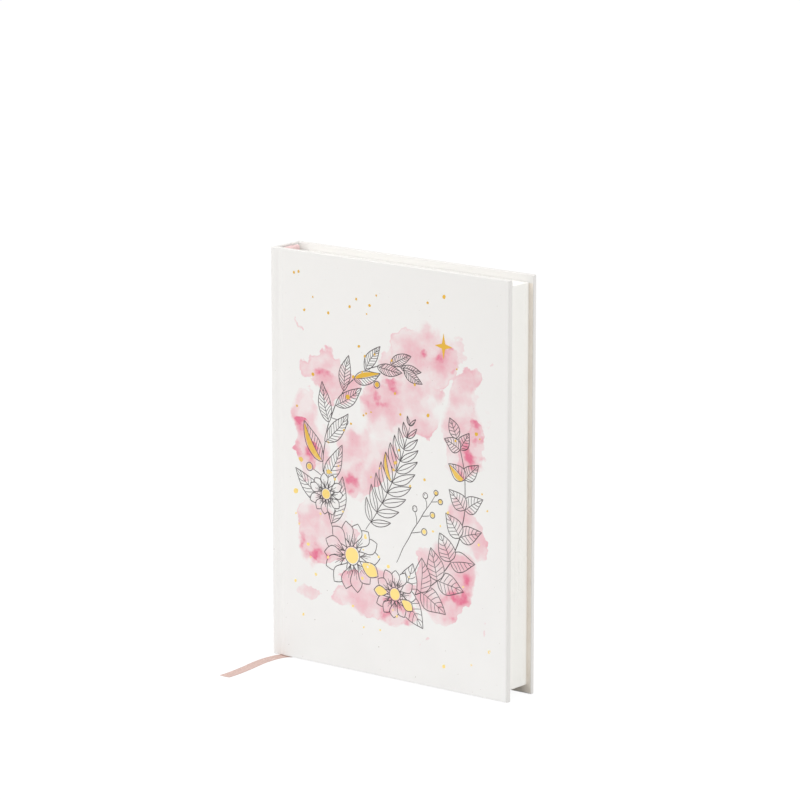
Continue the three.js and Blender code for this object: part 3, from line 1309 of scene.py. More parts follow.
@dataclass
class CaseHalf:
    """One cover, its groove and its half of the spine, under one sheet of paper.

    Attributes:
        side: Which cover it is.
        spine_radius: Rounding of the spine's long edge.
        edge_radius: Rounding of the fore-edge on the outside of the cover.
        inner_radius: Rounding of the fore-edge on the inside.
        edge_width: Width of the strip along the fore-edge whose colour is painted darker as shade.
        head_width: Width of the strip along the head whose colour is painted darker as shade.
        wear: How soon that painted shade is full, from the strip's inner side outwards.
        round_steps: Stretches in a rounding.
        rim_radius: Rounding of the paper over the head and the tail.
        groove_depth: Depth of the groove.
        groove_steps: Stretches that the groove bends in.
        turn_in: How far the paper comes round onto the inside.
        flap_thickness: What shows of the turned-in paper.
        flap_gap: Width of the seam between two turn-ins.
        spine_padding: Thickness of the strip glued inside the spine.
        print_slack: How far a printed face may turn or sink from the cover's outer face.
    """

    side: Side
    spine_radius: float = 0.6
    edge_radius: float = 1.1
    inner_radius: float = 0.35
    edge_width: float = 1.4
    head_width: float = 0.9
    wear: float = 1.6
    round_steps: int = 6
    rim_radius: float = 0.45
    groove_depth: float = 0.6
    groove_steps: int = 16
    turn_in: float = 15.0
    flap_thickness: float = 0.045
    flap_gap: float = 0.12
    spine_padding: float = 0.35
    print_slack: float = 0.01

    def __post_init__(self) -> None:
        """Measures the pieces of the frame that this one stands for."""
        self.cover = Extent.of(f"{self.side.label}_cover_paper")
        self.joint = Extent.of(f"{self.side.label}_joint_paper")
        self.spine = Extent.of("spine_cover_paper")
        self.stations = spaced(self.joint.low.x, self.joint.high.x, self.groove_steps)

    def build(self) -> bpy.types.Object:
        """Builds the half with its groove."""
        form = Form()
        form.raised(self.outline(), self.cover.low.z, self.cover.high.z, self.rim_radius)
        for vert in form.bm.verts:
            if abs(vert.co.y) <= 2 * self.rim_radius:
                vert.co.y = 0.0
        form.cut_along([*self.stations, self.cover.high.x - self.edge_width])
        self.add_turn_ins(form)
        self.mark_edge(form)
        bmesh.ops.recalc_face_normals(form.bm, faces=form.bm.faces)
        form.lay_flat()
        finishes: list[Finish] = [CoverPaper("bare_cover_paper")]
        if self.side is Side.FRONT:
            finishes.append(WashedPaper("washed_cover_paper"))
            for face in form.bm.faces:
                face.material_index = int(self.is_printed(face))
        half = form.finished(f"{self.side.label}_case", finishes, CRISP_ANGLE)
        nodes = [f"{self.side.label}_{part}" for part in ("board", "cover_paper", "joint_paper")]
        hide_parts(*nodes, "spine_board", "spine_cover_paper")
        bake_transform(half)
        return half

    def mark_edge(self, form: Form) -> None:
        """Marks how near each place is to the fore-edge or the head, where the paper's colour is painted
        darker as shade.
        """
        layer = form.bm.verts.layers.float.new(EDGE_LAYER)
        for vert in form.bm.verts:
            fore = (vert.co.x - self.cover.high.x) / self.edge_width + 1
            head = (vert.co.z - self.cover.high.z) / self.head_width + 1
            vert[layer] = max(0.0, min(1.0, self.wear * max(fore, head)))

    def is_printed(self, face: bmesh.types.BMFace) -> bool:
        """Tells whether a face belongs to the flat outer face of the cover."""
        middle = face.calc_center_median()
        level = abs(face.normal.y) > 1 - self.print_slack
        outside = abs(middle.y) > self.cover.outer - self.print_slack
        return level and outside and middle.x > self.joint.high.x

    def groove(self, along: float) -> float:
        """Distance from the middle plane to the outside of the groove at a place."""
        share = (along - self.joint.low.x) / (self.joint.high.x - self.joint.low.x)
        return self.joint.outer - self.groove_depth * (1 - math.cos(math.tau * share)) / 2

    def outline(self) -> list[Point]:
        """The half in plan, from the middle of the spine round the cover and back."""
        face, inside = self.cover.outer, self.cover.inner
        back, fore = self.spine.low.x, self.cover.high.x
        spine_in = self.spine.high.x + self.spine_padding
        corner, edge, crisp = self.spine_radius, self.edge_radius, self.inner_radius
        steps = self.round_steps
        points = [
            (back, 0.0),
            *arc((back + corner, face - corner), corner, 180, 90, steps),
            *[(place, self.groove(place)) for place in self.stations],
            *arc((fore - edge, face - edge), edge, 90, 0, steps),
            *arc((fore - crisp, inside + crisp), crisp, 0, -90, steps - 2),
            *[(place, inside) for place in reversed(self.stations) if place > spine_in],
            (spine_in, inside),
            (spine_in, 0.0),
        ]
        return [(along, depth * self.side.value) for along, depth in points]

    def add_turn_ins(self, form: Form) -> None:
        """Adds the paper turned in over the head, the tail and the fore-edge, mitred at the corners."""
        low, high = self.cover.low.z + self.rim_radius, self.cover.high.z - self.rim_radius
        fore, board = self.cover.high.x - self.rim_radius, self.cover.low.x
        gap = self.flap_gap
        far, near, top = fore - self.turn_in, low + self.turn_in, high - self.turn_in
        flaps = (
            ((board, high), (fore - gap, high), (far - gap, top), (board, top)),
            ((board, low), (fore - gap, low), (far - gap, near), (board, near)),
            ((fore, low + gap), (fore, high - gap), (far, top - gap), (far, near + gap)),
        )
        depth = self.cover.inner * self.side.value
        pull = Vector((0.0, -self.flap_thickness * self.side.value, 0.0))
        for corners in flaps:
            form.pulled([Vector((along, depth, height)) for along, height in corners], pull)


@dataclass
class EndLeaves:
    """The endpaper glued inside a cover and the flyleaf that is its other half.

    Attributes:
        side: Which cover they belong to.
        window_press: How far the endpaper sinks between the turn-ins.
        window_slope: Width of the slope at the edge of that window.
        fold_steps: Stretches over the fold's width on the glued half.
        bend: How far from the fold the flyleaf's extra stretches reach.
        bend_steps: Number of those stretches.
        outward: How far the flyleaf leans on its cover.
        head_margin: How far the glued half stays below its own box at the head.
        tail_margin: How far it reaches past its box at the tail.
        fore_margin: How far it reaches past its box at the fore-edge.
    """

    side: Side
    window_press: float = 0.1
    window_slope: float = 1.4
    fold_steps: int = 10
    bend: float = 12.0
    bend_steps: int = 14
    outward: float = 0.2
    head_margin: float = 2.3
    tail_margin: float = 1.3
    fore_margin: float = 1.5

    def build(self) -> None:
        """Builds both halves."""
        finish = EndPaper("endpaper_cream")
        self.build_glued_half(finish)
        self.build_flyleaf(finish)

    def build_glued_half(self, finish: Finish) -> None:
        """Builds the half that is glued inside the cover, with its fold."""
        glued = Extent.of(f"{self.side.label}_pastedown")
        fold = Extent.of(f"{self.side.label}_endpaper_fold")
        cover = Extent.of(f"{self.side.label}_cover_paper")
        turn_in, slope = CaseHalf.turn_in, self.window_slope
        spine, fore = cover.low.x, cover.high.x - turn_in
        foot, top = cover.low.z + turn_in, cover.high.z - turn_in

        def press(along: float, height: float) -> float:
            """How far the paper sinks at a place."""
            inside = min(fore - along, height - foot, top - height) / slope
            share = max(0.0, min(1.0, inside)) if along >= spine else 0.0
            return self.side.value * self.window_press * share

        places = spaced(fold.low.x, fold.high.x, self.fold_steps)
        places += [spine + 1, fore - slope, fore, glued.high.x + self.fore_margin]
        heights = [glued.low.z - self.tail_margin, foot, foot + slope]
        heights += [top - slope, top, glued.high.z - self.head_margin]
        form = Form()
        form.sheet([(place, glued.low.y) for place in places], heights, glued.high.y - glued.low.y, press)
        form.lay_flat(upright=True)
        half = form.finished(f"{self.side.label}_glued_endpaper", [finish], CRISP_ANGLE)
        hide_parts(f"{self.side.label}_pastedown", f"{self.side.label}_endpaper_fold")
        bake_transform(half)

    def build_flyleaf(self, finish: Finish) -> None:
        """Builds the loose half."""
        leaf = Extent.of(f"{self.side.label}_flyleaf")
        places = [*spaced(leaf.low.x, leaf.low.x + self.bend, self.bend_steps), leaf.high.x]
        near = leaf.low.y + self.side.value * self.outward
        form = Form()
        form.sheet([(place, near) for place in places], [leaf.low.z, leaf.high.z], leaf.high.y - leaf.low.y)
        form.lay_flat(upright=True)
        loose = form.finished(f"{self.side.label}_loose_endpaper", [finish], CRISP_ANGLE)
        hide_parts(f"{self.side.label}_flyleaf")
        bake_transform(loose)


@dataclass
class Sections:
    """The sewn sections, each of five sheets folded into ten leaves.

    Attributes:
        count: Number of sections.
        turning: How many at each side stay out of the block's body and take extra stretches near their
            fold.
        sheets: Folded sheets in a section.
        fill: Share of a leaf's room that its paper takes.
        seam: Gap between two sections.
        outer_seam: How far the outermost leaf stays inside its own box; below zero it leans out.
        ribbon_room: Gap between the middle sections at the ribbon; it closes towards the fore-edge.
        uneven: How much the leaves' fore-edges differ.
        bend: How far from the fold a turning leaf's extra stretches reach.
        bend_steps: Number of those stretches.
        fold_steps: Stretches round the fold.
        seed: Seed of the small differences between leaves.
    """

    count: int = 12
    turning: int = 3
    sheets: int = 5
    fill: float = 0.97
    seam: float = 0.05
    outer_seam: float = -0.45
    ribbon_room: float = 0.2
    uneven: float = 0.05
    bend: float = 12.0
    bend_steps: int = 12
    fold_steps: int = 6
    seed: int = 5

    def build(self) -> None:
        """Builds every section."""
        chance = random.Random(self.seed)
        finish = DotGridPaper("dot_grid_paper")
        for number in range(1, self.count + 1):
            self.build_section(number, finish, chance)

    def build_section(self, number: int, finish: Finish, chance: random.Random) -> None:
        """Builds one section out of nested folded sheets.

        Args:
            number: Its place from the front, from 1.
            finish: Its paper.
            chance: Source of the small differences between leaves.
        """
        node = f"section_{number:02d}"
        room = Extent.of(node)
        moves = number <= self.turning or number > self.count - self.turning
        near, far = self.border(number - 1, 1), self.border(number, -1)
        pitch = (far - near) / (2 * self.sheets)
        paper = pitch * self.fill
        middle = (near + far) / 2
        fold = room.low.x + (far - near) / 2
        form = Form()
        for sheet in range(self.sheets):
            radius = (far - near) / 2 - sheet * pitch - (pitch + paper) / 2
            ends = [room.high.x - chance.uniform(0.0, self.uneven) for _ in range(2)]
            leg = spaced(fold, room.low.x + self.bend, self.bend_steps)[1:] if moves else []
            path = [(ends[0], self.closed_up(middle - radius))]
            path += [(place, middle - radius) for place in reversed(leg)]
            path += arc((fold, middle), radius, 270, 90, self.fold_steps)
            path += [(place, middle + radius) for place in leg]
            path.append((ends[1], self.closed_up(middle + radius)))
            form.sheet(path, [room.low.z, room.high.z], paper)
        form.lay_flat(upright=True)
        section = form.finished(node.replace("section", "leaves"), [finish], SOFT_ANGLE)
        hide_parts(node)
        if not moves:
            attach(section, BLOCK_BODY)
            return
        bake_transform(section)

    def border(self, number: int, way: int) -> float:
        """Finds one side of the gap between a section and the next, which spread to meet.

        Args:
            number: The first one's place from the front; 0 is the front itself.
            way: Which side of the gap, along Y.

        Returns:
            That side's distance from the middle plane, along Y.
        """
        if number in (0, self.count):
            return math.copysign(self.outermost(), -way)
        if number == self.count // 2:
            return way * self.ribbon_room / 2
        here, there = (Extent.of(f"section_{place:02d}") for place in (number, number + 1))
        return (here.high.y + there.low.y + way * self.seam) / 2

    def outermost(self) -> float:
        """Distance from the middle plane to the outside of the outermost section."""
        return Extent.of("back_flyleaf").low.y + EndLeaves.outward - self.outer_seam

    def closed_up(self, depth: float) -> float:
        """Where a leaf lies at the fore-edge, when the ribbon no longer keeps the halves apart."""
        outside, half_room = self.outermost(), self.ribbon_room / 2
        share = (outside - abs(depth)) / (outside - half_room)
        return math.copysign(abs(depth) - share * (half_room - self.seam / 2), depth)


@dataclass
class SpineBand:
    """A wound cotton band on one end of the spine of the block.

    Attributes:
        node: The frame's piece that it stands for.
        at_head: Whether it sits at the head.
        bead_radius: Radius of the wound bead.
        thread_radius: Radius of the winding thread.
        pitch: Distance from one turn to the next.
        knot: Where the knots sit on the bead, from its middle to the leaves and into the book, as
            shares of its radius.
        knot_size: Radius of a knot, as a share of the thread's.
        tape: Thickness of the tape behind it.
        tape_edge: Rounding of that tape.
        short: How far each end stops short of the block's side.
    """

    node: str
    at_head: bool
    bead_radius: float = 1.5
    thread_radius: float = 0.18
    pitch: float = 0.34
    knot: Point = (0.8, 0.55)
    knot_size: float = 1.15
    tape: float = 0.35
    tape_edge: float = 0.08
    short: float = 1.7

    def build(self) -> None:
        """Builds the tape, the core, the winding and the row of knots beside the leaves."""
        room = Extent.of(self.node)
        centre = Vector((
            room.low.x + self.bead_radius,
            0.0,
            room.high.z - self.bead_radius if self.at_head else room.low.z + self.bead_radius,
        ))
        outward = 1 if self.at_head else -1
        far = room.low.z if self.at_head else room.high.z
        form = Form()
        low, high = sorted((far, centre.z))
        start, end = room.low.y + self.short, room.high.y - self.short
        form.block((room.low.x, start, low), (room.low.x + self.tape, end, high), self.tape_edge)
        core = self.bead_radius - 2 * self.thread_radius
        self.add_core(form, centre, core, end - start)
        turns = int((end - start) / self.pitch)
        first = -(turns - 1) * self.pitch / 2
        aside = Vector((self.knot[0], 0.0, -outward * self.knot[1])) * self.bead_radius
        for turn in range(turns):
            depth = first + turn * self.pitch
            self.add_turn(form, centre + Vector((0.0, depth, 0.0)))
            self.add_knot(form, centre + aside + Vector((0.0, depth + self.pitch / 2, 0.0)))
        band = form.finished(f"{self.node}_wound", [Yarn("pink_cotton_yarn", "pink_cotton")], SOFT_ANGLE)
        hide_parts(self.node)
        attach(band, BLOCK_BODY)

    def add_core(self, form: Form, centre: Vector, radius: float, length: float) -> None:
        """Adds the cord inside the winding."""
        made = bmesh.ops.create_cone(
            form.bm, cap_ends=True, segments=16, radius1=radius, radius2=radius, depth=length
        )["verts"]
        bmesh.ops.rotate(form.bm, verts=made, matrix=Matrix.Rotation(QUARTER_TURN, 3, "X"))
        bmesh.ops.translate(form.bm, verts=made, vec=centre)

    def add_turn(self, form: Form, centre: Vector) -> None:
        """Adds one turn of thread round the core."""
        ring = bmesh.ops.create_circle(form.bm, segments=6, radius=self.thread_radius)["verts"]
        reach = self.bead_radius - self.thread_radius
        bmesh.ops.translate(form.bm, verts=ring, vec=centre + Vector((reach, 0.0, 0.0)))
        bmesh.ops.spin(
            form.bm,
            geom=[*ring, *form.edges(ring)],
            cent=centre,
            axis=(0, 1, 0),
            dvec=(0, 0, 0),
            angle=math.tau,
            steps=14,
            use_merge=True,
        )

    def add_knot(self, form: Form, centre: Vector) -> None:
        """Adds one knot of the row beside the leaves."""
        radius = self.thread_radius * self.knot_size
        bead = bmesh.ops.create_icosphere(form.bm, subdivisions=1, radius=radius)["verts"]
        bmesh.ops.translate(form.bm, verts=bead, vec=centre)


class SpineLinings:
    """The linings and threads on the back of the block, which keep the frame's own shape."""

    def dress(self, frame: Mapping[str, Any]) -> None:
        """Gives each its own material."""
        finishes: dict[str, Finish] = {
            "spine_lining": Kraft("ribbed_kraft"),
            "spine_gauze": Gauze("binders_gauze"),
        }
        # gap is the colour painted between the linen's strands, as shade.
        linen, gap = srgb(240, 234, 220), srgb(205, 194, 172)
        thread = Yarn("linen_yarn", "linen_thread", base=linen, shade=gap, strand=0.2, second=linen)
        finishes.update({name: thread for name in frame["nodes"] if name.startswith("sewing_thread")})
        for name, finish in finishes.items():
            node = frame["nodes"][name]
            node.data.materials.clear()
            node.data.materials.append(finish.material())
            LOG.info("%s: dressed", name)


@dataclass(frozen=True)
class Leaf:
    """A drawn leaf, petal or stem.

    Attributes:
        base: Where its stalk ends.
        heading: Direction of its middle line, in degrees anticlockwise from the fore-edge.
        length: Its length.
        width: Its greatest width.
        veins: Number of veins on each side.
        droop: How far its tip turns, in degrees.
        belly: Where it is widest: below 1 nearer to the base.
        bends: Stretches that its middle line bends in.
    """

    base: Point
    heading: float
    length: float
    width: float = 0.0
    veins: int = 0
    droop: float = 0.0
    belly: float = 0.8
    bends: int = 8

    def spot(self, share: float, across: float = 0.0) -> Point:
        """A point on the leaf.

        Args:
            share: Distance along its middle line, from 0 to 1.
            across: Distance from that line, from -1 on one edge to 1 on the other.

        Returns:
            The point on the cover.
        """
        along, up = self.base
        for step in range(self.bends):
            turn = math.radians(self.heading + self.droop * share * (step + 0.5) / self.bends)
            along += math.cos(turn) * self.length * share / self.bends
            up += math.sin(turn) * self.length * share / self.bends
        turn = math.radians(self.heading + self.droop * share)
        half = across * self.width / 2 * math.sin(math.pi * min(max(share, 0.0), 1.0) ** self.belly)
        return (along - math.sin(turn) * half, up + math.cos(turn) * half)

    def line(self, start: float, end: float, steps: int, across: float = 0.0) -> list[Point]:
        """Points along the leaf, at one distance from its middle line."""
        return [self.spot(share, across) for share in spaced(start, end, steps)]

    def rim(self, inset: float = 1.0, start: float = 0.0, end: float = 1.0, steps: int = 14) -> list[Point]:
        """The leaf's edge, or a line inside it."""
        return self.line(start, end, steps, inset) + self.line(start, end, steps, -inset)[::-1]


def encloses(outline: Sequence[Point], place: Point) -> bool:
    """Tells whether a closed outline goes round a place."""
    along, up = place
    inside = False
    for (x0, y0), (x1, y1) in zip(outline, [*outline[1:], outline[0]]):
        if (y0 > up) != (y1 > up) and along < x0 + (up - y0) / (y1 - y0) * (x1 - x0):
            inside = not inside
    return inside


def shrunk(outline: Sequence[Point], share: float) -> list[Point]:
    """Draws an outline in towards its middle."""
    middle = [sum(corner[axis] for corner in outline) / len(outline) for axis in range(2)]
    return [(middle[0] + (x - middle[0]) * share, middle[1] + (y - middle[1]) * share) for x, y in outline]


@dataclass(frozen=True)
class Dab:
    """One dot of ink along a pen line.

    Attributes:
        place: Where it lies.
        weight: How broad the line is there, as a share of the pen's width.
    """

    place: Point
    weight: float


class Weight(float, Enum):
    """How broad each kind of pen line is, as a share of the pen's width."""

    BRANCH = 1.25
    FROND = 1.1
    OUTLINE = 1.0
    STALK = 0.9
    RIB = 0.85
    VEIN = 0.75
    GLEAM = 0.7
    CREASE = 0.65


@dataclass(frozen=True)
class Daisy:
    """A drawn daisy.

    Attributes:
        centre: Middle of its heart.
        radius: Reach of its petals.
        petals: Number of petals.
        gilded: Every how many petals one is filled with foil; 0 for none.
    """

    centre: Point
    radius: float
    petals: int
    gilded: int


@dataclass
class CoverPrint:
    """The drawing on the front cover: pen lines and gold foil, a garland of leaves and daisies.

    Places are millimetres from the spine's outer face and from the tail of the cover. What is drawn
    later lies in front, and hides the lines behind it.

    Attributes:
        line: Width of the pen line.
        line_height: How far ink stands off the paper.
        foil_height: How far foil stands off the paper.
        waver: How far the hand strays.
        spacing: Distance between the dabs of a line.
        seed: Seed of the hand's and the specks' chance.
        middle: Middle of the garland.
        reach: Half its width and half its height.
        left: Angles of the garland at which the branch of slender leaves starts and ends.
        right: The same for the branch of round leaves.
        sparkle: Middle of the gold sparkle.
        sparkle_reach: Length of its points.
        specks: Number of gold specks.
        speck_radius: Least radius of a speck, what most add to it and what a few add.
        speck_field: Where specks lie: from and to along the cover, then up it.
        daisies: The flowers, from back to front.
    """

    line: float = 0.45
    line_height: float = 0.03
    foil_height: float = 0.04
    waver: float = 0.16
    spacing: float = 0.7
    seed: int = 11
    middle: Point = (80.0, 104.0)
    reach: Point = (46.0, 60.0)
    left: Point = (214.0, 84.0)
    right: Point = (262.0, 388.0)
    sparkle: Point = (112.0, 178.0)
    sparkle_reach: float = 5.6
    specks: int = 84
    speck_radius: tuple[float, float, float] = (0.5, 0.38, 1.0)
    speck_field: tuple[Point, Point] = ((14, 142), (12, 206))
    daisies: tuple[Daisy, ...] = (
        Daisy((36.0, 91.0), 11.5, 11, 0),
        Daisy((81.0, 45.0), 13.5, 12, 5),
        Daisy((53.0, 61.0), 19.0, 14, 4),
    )
    strokes: list[list[Dab]] = field(default_factory=list)
    shapes: list[list[Point]] = field(default_factory=list)

    def build(self) -> None:
        """Draws the garland and turns its lines and foil into pieces."""
        self.chance = random.Random(self.seed)
        self.draw_fern()
        self.draw_sprig()
        self.draw_left_branch()
        self.draw_right_branch()
        for daisy in self.daisies:
            self.draw_daisy(daisy)
        self.draw_sparkle()
        self.scatter_specks()
        self.build_ink()
        self.build_foil()

    def pen(self, points: Sequence[Point], weight: float = Weight.OUTLINE, closed: bool = False) -> None:
        """Draws a line with a slightly unsteady hand.

        Args:
            points: Corners of the line.
            weight: How broad it is, as a share of the pen's width.
            closed: Whether it comes back to where it starts.
        """
        corners = [*points, points[0]] if closed else list(points)
        phase = self.chance.uniform(0.0, math.tau)
        line = [corners[0]]
        for start, end in zip(corners, corners[1:]):
            parts = max(1, math.ceil(math.dist(start, end) / self.spacing))
            across, up = end[0] - start[0], end[1] - start[1]
            shares = spaced(0, 1, parts)[1:]
            line.extend((start[0] + across * share, start[1] + up * share) for share in shares)
        dabs = []
        for number, (along, up) in enumerate(line):
            sway = self.waver * math.sin(0.45 * along + 0.3 * up + phase)
            lift = self.waver * math.cos(0.4 * up - 0.35 * along + phase)
            rise = math.sin(math.pi * (number + 0.6) / (len(line) + 0.2))
            taper = 1.0 if closed else 0.5 + 0.5 * rise**0.5
            dabs.append(Dab((along + sway, up + lift), weight * taper))
        self.strokes.append(dabs)

    def cover_up(self, outline: Sequence[Point]) -> None:
        """Takes away the lines and the foil behind a shape.

        Args:
            outline: The shape's edge.
        """
        low = [min(corner[axis] for corner in outline) for axis in range(2)]
        high = [max(corner[axis] for corner in outline) for axis in range(2)]

        def hidden(place: Point) -> bool:
            """Whether the shape hides a place."""
            near = all(low[axis] < place[axis] < high[axis] for axis in range(2))
            return near and encloses(outline, place)

        kept = []
        for stroke in self.strokes:
            run: list[Dab] = []
            for dab in stroke:
                if not hidden(dab.place):
                    run.append(dab)
                    continue
                kept.append(run)
                run = []
            kept.append(run)
        self.strokes = [run for run in kept if len(run) > 1]
        self.shapes = [shape for shape in self.shapes if not any(hidden(corner) for corner in shape)]

    def pen_in_front(self, outline: Sequence[Point]) -> None:
        """Draws a closed outline that hides what lies behind it."""
        self.cover_up(outline)
        self.pen(outline, closed=True)

    def on_garland(self, angle: float, out: float = 0.0) -> Point:
        """A point of the garland at an angle, or outside it."""
        turn = math.radians(angle)
        return (
            self.middle[0] + (self.reach[0] + out) * math.cos(turn),
            self.middle[1] + (self.reach[1] + out) * math.sin(turn),
        )

    def heading_at(self, angle: float) -> float:
        """Direction of the garland at an angle, anticlockwise round it."""
        here, there = self.on_garland(angle), self.on_garland(angle + 1)
        return math.degrees(math.atan2(there[1] - here[1], there[0] - here[0]))

    def draw_branch(self, angles: Point) -> None:
        """Draws the bare branch between two angles of the garland."""
        self.pen([self.on_garland(angle) for angle in spaced(*angles, 34)], Weight.BRANCH)

    def draw_leaf(self, leaf: Leaf, gilded: bool = False) -> None:
        """Draws a leaf with its middle line and veins; a gilded one has foil on one half."""
        self.pen_in_front(leaf.rim())
        self.pen(leaf.line(0.0, 0.96, 8), Weight.RIB)
        for vein in range(leaf.veins):
            start = (vein + 0.7) / (leaf.veins + 0.7) * 0.84
            end = min(start + 0.16, 0.97)
            for way in (-1,) if gilded else (-1, 1):
                middle = leaf.spot((start + end) / 2, way * 0.5)
                self.pen([leaf.spot(start), middle, leaf.spot(end, way * 0.97)], Weight.VEIN)
        if gilded:
            foil = leaf.line(0.08, 0.93, 12, 0.12) + leaf.line(0.08, 0.93, 12, 0.84)[::-1]
            self.shapes.append(foil)

    def draw_berry(self, centre: Point, radius: float, stalk: Point, gilded: bool) -> None:
        """Draws a berry on its stalk."""
        away = math.atan2(stalk[1] - centre[1], stalk[0] - centre[0])
        edge = around(centre, radius, away)
        self.pen([stalk, ((edge[0] + stalk[0]) / 2 + 0.5, (edge[1] + stalk[1]) / 2), edge], Weight.STALK)
        self.pen_in_front(arc(centre, radius, 0, 342, 14))
        if gilded:
            self.shapes.append(arc(centre, radius * 0.74, 0, 336, 14))
        else:
            self.pen(arc(centre, radius * 0.55, 110, 200, 4), Weight.GLEAM)

    def draw_left_branch(self) -> None:
        """Draws the branch of slender leaves up the spine side, with three berries."""
        start, end = self.left
        self.draw_branch(self.left)
        tip = self.heading_at(end) + 180
        self.draw_leaf(Leaf(self.on_garland(end), tip, length=13, width=4.6, veins=6, droop=8))
        leaves = 13
        for number in reversed(range(leaves)):
            share = number / (leaves - 1)
            angle = start - 6 + (end + 4 - start) * share
            way = 1 if number % 2 else -1
            if number in (2, 5, 9):
                centre = self.on_garland(angle - 7, way * -9)
                self.draw_berry(centre, 2.2 - 0.5 * share, self.on_garland(angle - 3), number != 5)
            leaf = Leaf(
                self.on_garland(angle),
                self.heading_at(angle) + 180 + way * (48 - 20 * share),
                length=27 - 13 * share,
                width=10 - 4.4 * share,
                veins=8,
                droop=-way * 18,
            )
            self.draw_leaf(leaf, number in (3, 8))

    def draw_right_branch(self) -> None:
        """Draws the branch of round leaves along the tail and up the fore-edge side."""
        start, end = self.right
        self.draw_branch(self.right)
        tip = self.heading_at(end)
        self.draw_leaf(Leaf(self.on_garland(end), tip, length=11, width=6.5, veins=4, droop=4, belly=0.7))
        pairs = 8
        for number in reversed(range(pairs)):
            share = number / (pairs - 1)
            angle = start + 16 + (end - start - 22) * share
            for way in (-1, 1):
                length = 19.5 - 8.5 * share
                leaf = Leaf(
                    self.on_garland(angle),
                    self.heading_at(angle) + way * (56 - 12 * share),
                    length,
                    width=length * 0.66,
                    veins=5,
                    droop=way * 10,
                    belly=0.64,
                )
                self.draw_leaf(leaf, (number, way) in ((1, 1), (3, -1), (6, 1)))

    def draw_fern(self) -> None:
        """Draws a fern frond that leans across the middle."""
        stem = Leaf((62.0, 76.0), 52.0, length=66.0, droop=24.0)
        self.pen(stem.line(0.0, 1.0, 16), Weight.FROND)
        rows = 10
        for number in reversed(range(rows)):
            share = (number + 0.9) / rows
            size = 14.0 * math.sin(math.pi * (0.2 + 0.74 * share)) + 2.5
            for way in (-1, 1):
                heading = stem.heading + stem.droop * share + way * (62 - 20 * share)
                leaf = Leaf(stem.spot(share), heading, size, width=size * 0.3, droop=-way * 22)
                self.draw_leaf(leaf, number == 4 and way == 1)

    def draw_sprig(self) -> None:
        """Draws a sprig of berries beside the fern."""
        stem = Leaf((82.0, 62.0), 62.0, length=46.0, droop=-10.0)
        self.pen(stem.line(0.0, 1.0, 12))
        for number, share in enumerate((0.42, 0.56, 0.68, 0.8, 0.9)):
            way = 1 if number % 2 else -1
            turn = math.radians(stem.heading + stem.droop * share + way * 44)
            base = stem.spot(share)
            centre = around(base, 10.5 - 5.0 * share, turn)
            self.draw_berry(centre, 1.9 - 0.6 * share, base, number % 2 == 0)
        tip = stem.spot(1.0)
        self.draw_berry((tip[0] + 0.4, tip[1] + 1.4), 1.3, tip, True)

    def draw_daisy(self, daisy: Daisy) -> None:
        """Draws a daisy, petal over petal, round a gold heart."""
        heart = daisy.radius * 0.26
        for number in range(daisy.petals):
            heading = 360 * number / daisy.petals + self.chance.uniform(-4, 4)
            base = around(daisy.centre, heart, math.radians(heading))
            length = (daisy.radius - heart) * self.chance.uniform(0.9, 1.05)
            bend = self.chance.uniform(-9, 9)
            petal = Leaf(base, heading, length, width=daisy.radius * 0.42, droop=bend, belly=1.4)
            self.cover_up(petal.rim())
            self.pen(petal.rim(steps=18), closed=True)
            if daisy.gilded and number % daisy.gilded == 1:
                self.shapes.append(shrunk(petal.rim(0.94, 0.16, 0.97), 0.9))
                continue
            for across, reach in ((0.14, 0.55), (-0.28, 0.42), (0.45, 0.34)):
                crease = [petal.spot(share * reach, across) for share in (0.12, 0.5, 1.0)]
                self.pen(crease, Weight.CREASE)
        self.pen_in_front(arc(daisy.centre, heart, 0, 345, 20))
        self.shapes.append(arc(daisy.centre, heart * 0.85, 0, 342, 20))

    def draw_sparkle(self) -> None:
        """Draws a small gold sparkle in the garland's opening."""
        reaches = (self.sparkle_reach, self.sparkle_reach * 0.27) * 4
        turns = [math.radians(45 * number) for number in range(len(reaches))]
        self.shapes.append([around(self.sparkle, far, turn, 1.2) for far, turn in zip(reaches, turns)])

    def scatter_specks(self) -> None:
        """Scatters gold specks over the cover, most of them small."""
        least, usual, rare = self.speck_radius
        corners = 9
        for _ in range(self.specks):
            middle = [self.chance.uniform(*ends) for ends in self.speck_field]
            radius = least + usual * self.chance.random() + rare * self.chance.random() ** 8
            flat = self.chance.uniform(0.75, 1.0)
            tilt = self.chance.uniform(0, math.tau)
            points = []
            for number in range(corners):
                far = radius * self.chance.uniform(0.84, 1.12)
                east, north = around((0.0, 0.0), far, math.tau * number / corners, flat)
                points.append((
                    middle[0] + east * math.cos(tilt) - north * math.sin(tilt),
                    middle[1] + east * math.sin(tilt) + north * math.cos(tilt),
                ))
            self.shapes.append(points)

    def add_spline(self, curve: bpy.types.Curve, points: Sequence[Point]) -> bpy.types.Spline:
        """Adds one line of points to a curve."""
        spline = curve.splines.new("POLY")
        spline.points.add(len(points) - 1)
        for knot, (along, up) in zip(spline.points, points):
            knot.co = (along * MM, up * MM, 0.0, 1.0)
        return spline

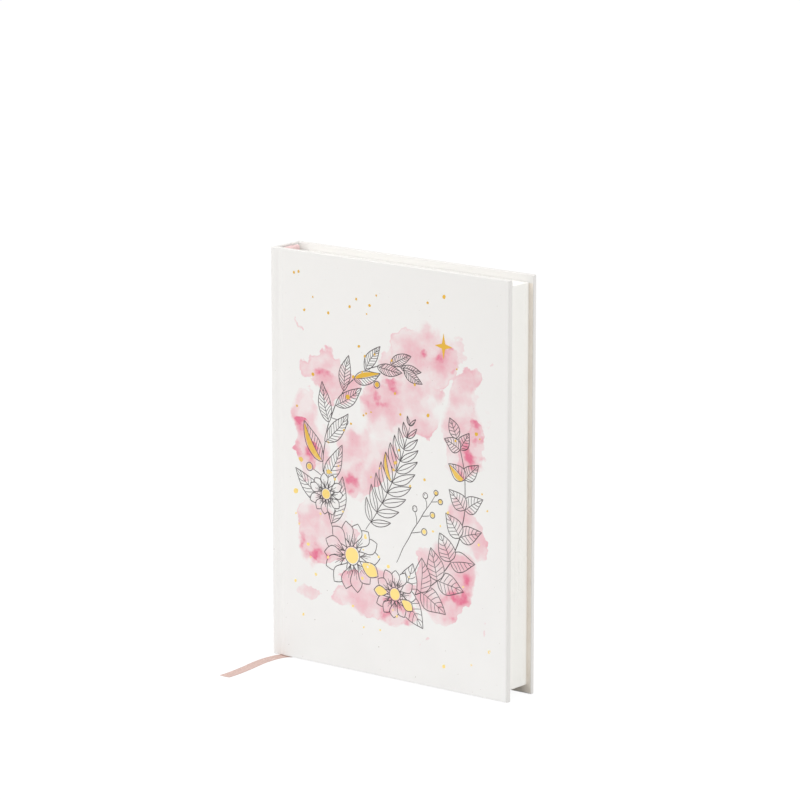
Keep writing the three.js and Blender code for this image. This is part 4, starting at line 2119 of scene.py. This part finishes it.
    def build_ink(self) -> None:
        """Turns the pen lines into one thin piece."""
        curve = bpy.data.curves.new("ink", "CURVE")
        curve.dimensions = "3D"
        curve.bevel_depth = self.line / 2 * MM
        curve.bevel_resolution = 0
        for stroke in self.strokes:
            spline = self.add_spline(curve, [dab.place for dab in stroke])
            for knot, dab in zip(spline.points, stroke):
                knot.radius = dab.weight
        self.lay_on_cover(curve, "ink_drawing", Ink("grey_ink"), 2 * self.line_height / self.line)

    def build_foil(self) -> None:
        """Turns the foil shapes into one thin piece."""
        curve = bpy.data.curves.new("foil", "CURVE")
        curve.dimensions = "2D"
        curve.fill_mode = "BOTH"
        curve.extrude = self.foil_height * MM
        for points in self.shapes:
            self.add_spline(curve, points).use_cyclic_u = True
        self.lay_on_cover(curve, "gold_foil", Foil("gold_foil"), 1.0)

    def lay_on_cover(self, curve: bpy.types.Curve, name: str, finish: Finish, flatten: float) -> None:
        """Makes a curve a mesh and lays it on the front cover.

        Args:
            curve: The drawn curve, flat in its own X and Y.
            name: The piece's name.
            finish: Its finish.
            flatten: Share of its own height that it keeps.
        """
        drawn = linked(name + "_curve", curve)
        graph = bpy.context.evaluated_depsgraph_get()
        mesh = bpy.data.meshes.new_from_object(drawn.evaluated_get(graph))
        bpy.data.objects.remove(drawn)
        corner = Matrix.Translation(front_corner() * MM)
        upright = Matrix.Rotation(QUARTER_TURN, 4, "X")
        mesh.transform(corner @ upright @ Matrix.Diagonal((1.0, 1.0, flatten, 1.0)))
        mesh.materials.clear()
        piece = piece_from(mesh, name, [finish], SOFT_ANGLE)
        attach(piece, Side.FRONT.cover)


def main() -> None:
    """Builds the journal round the frame, piece by piece."""
    logging.basicConfig(level=logging.INFO, format="%(name)s: %(message)s")
    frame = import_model()
    PhotoCamera().place()
    RibbonMarker().build()
    Studio().build()
    for side in Side:
        CaseHalf(side).build()
        EndLeaves(side).build()
    Sections().build()
    SpineBand("headband", at_head=True).build()
    SpineBand("tailband", at_head=False).build()
    SpineLinings().dress(frame)
    CoverPrint().build()


if __name__ == "__main__":
    main()
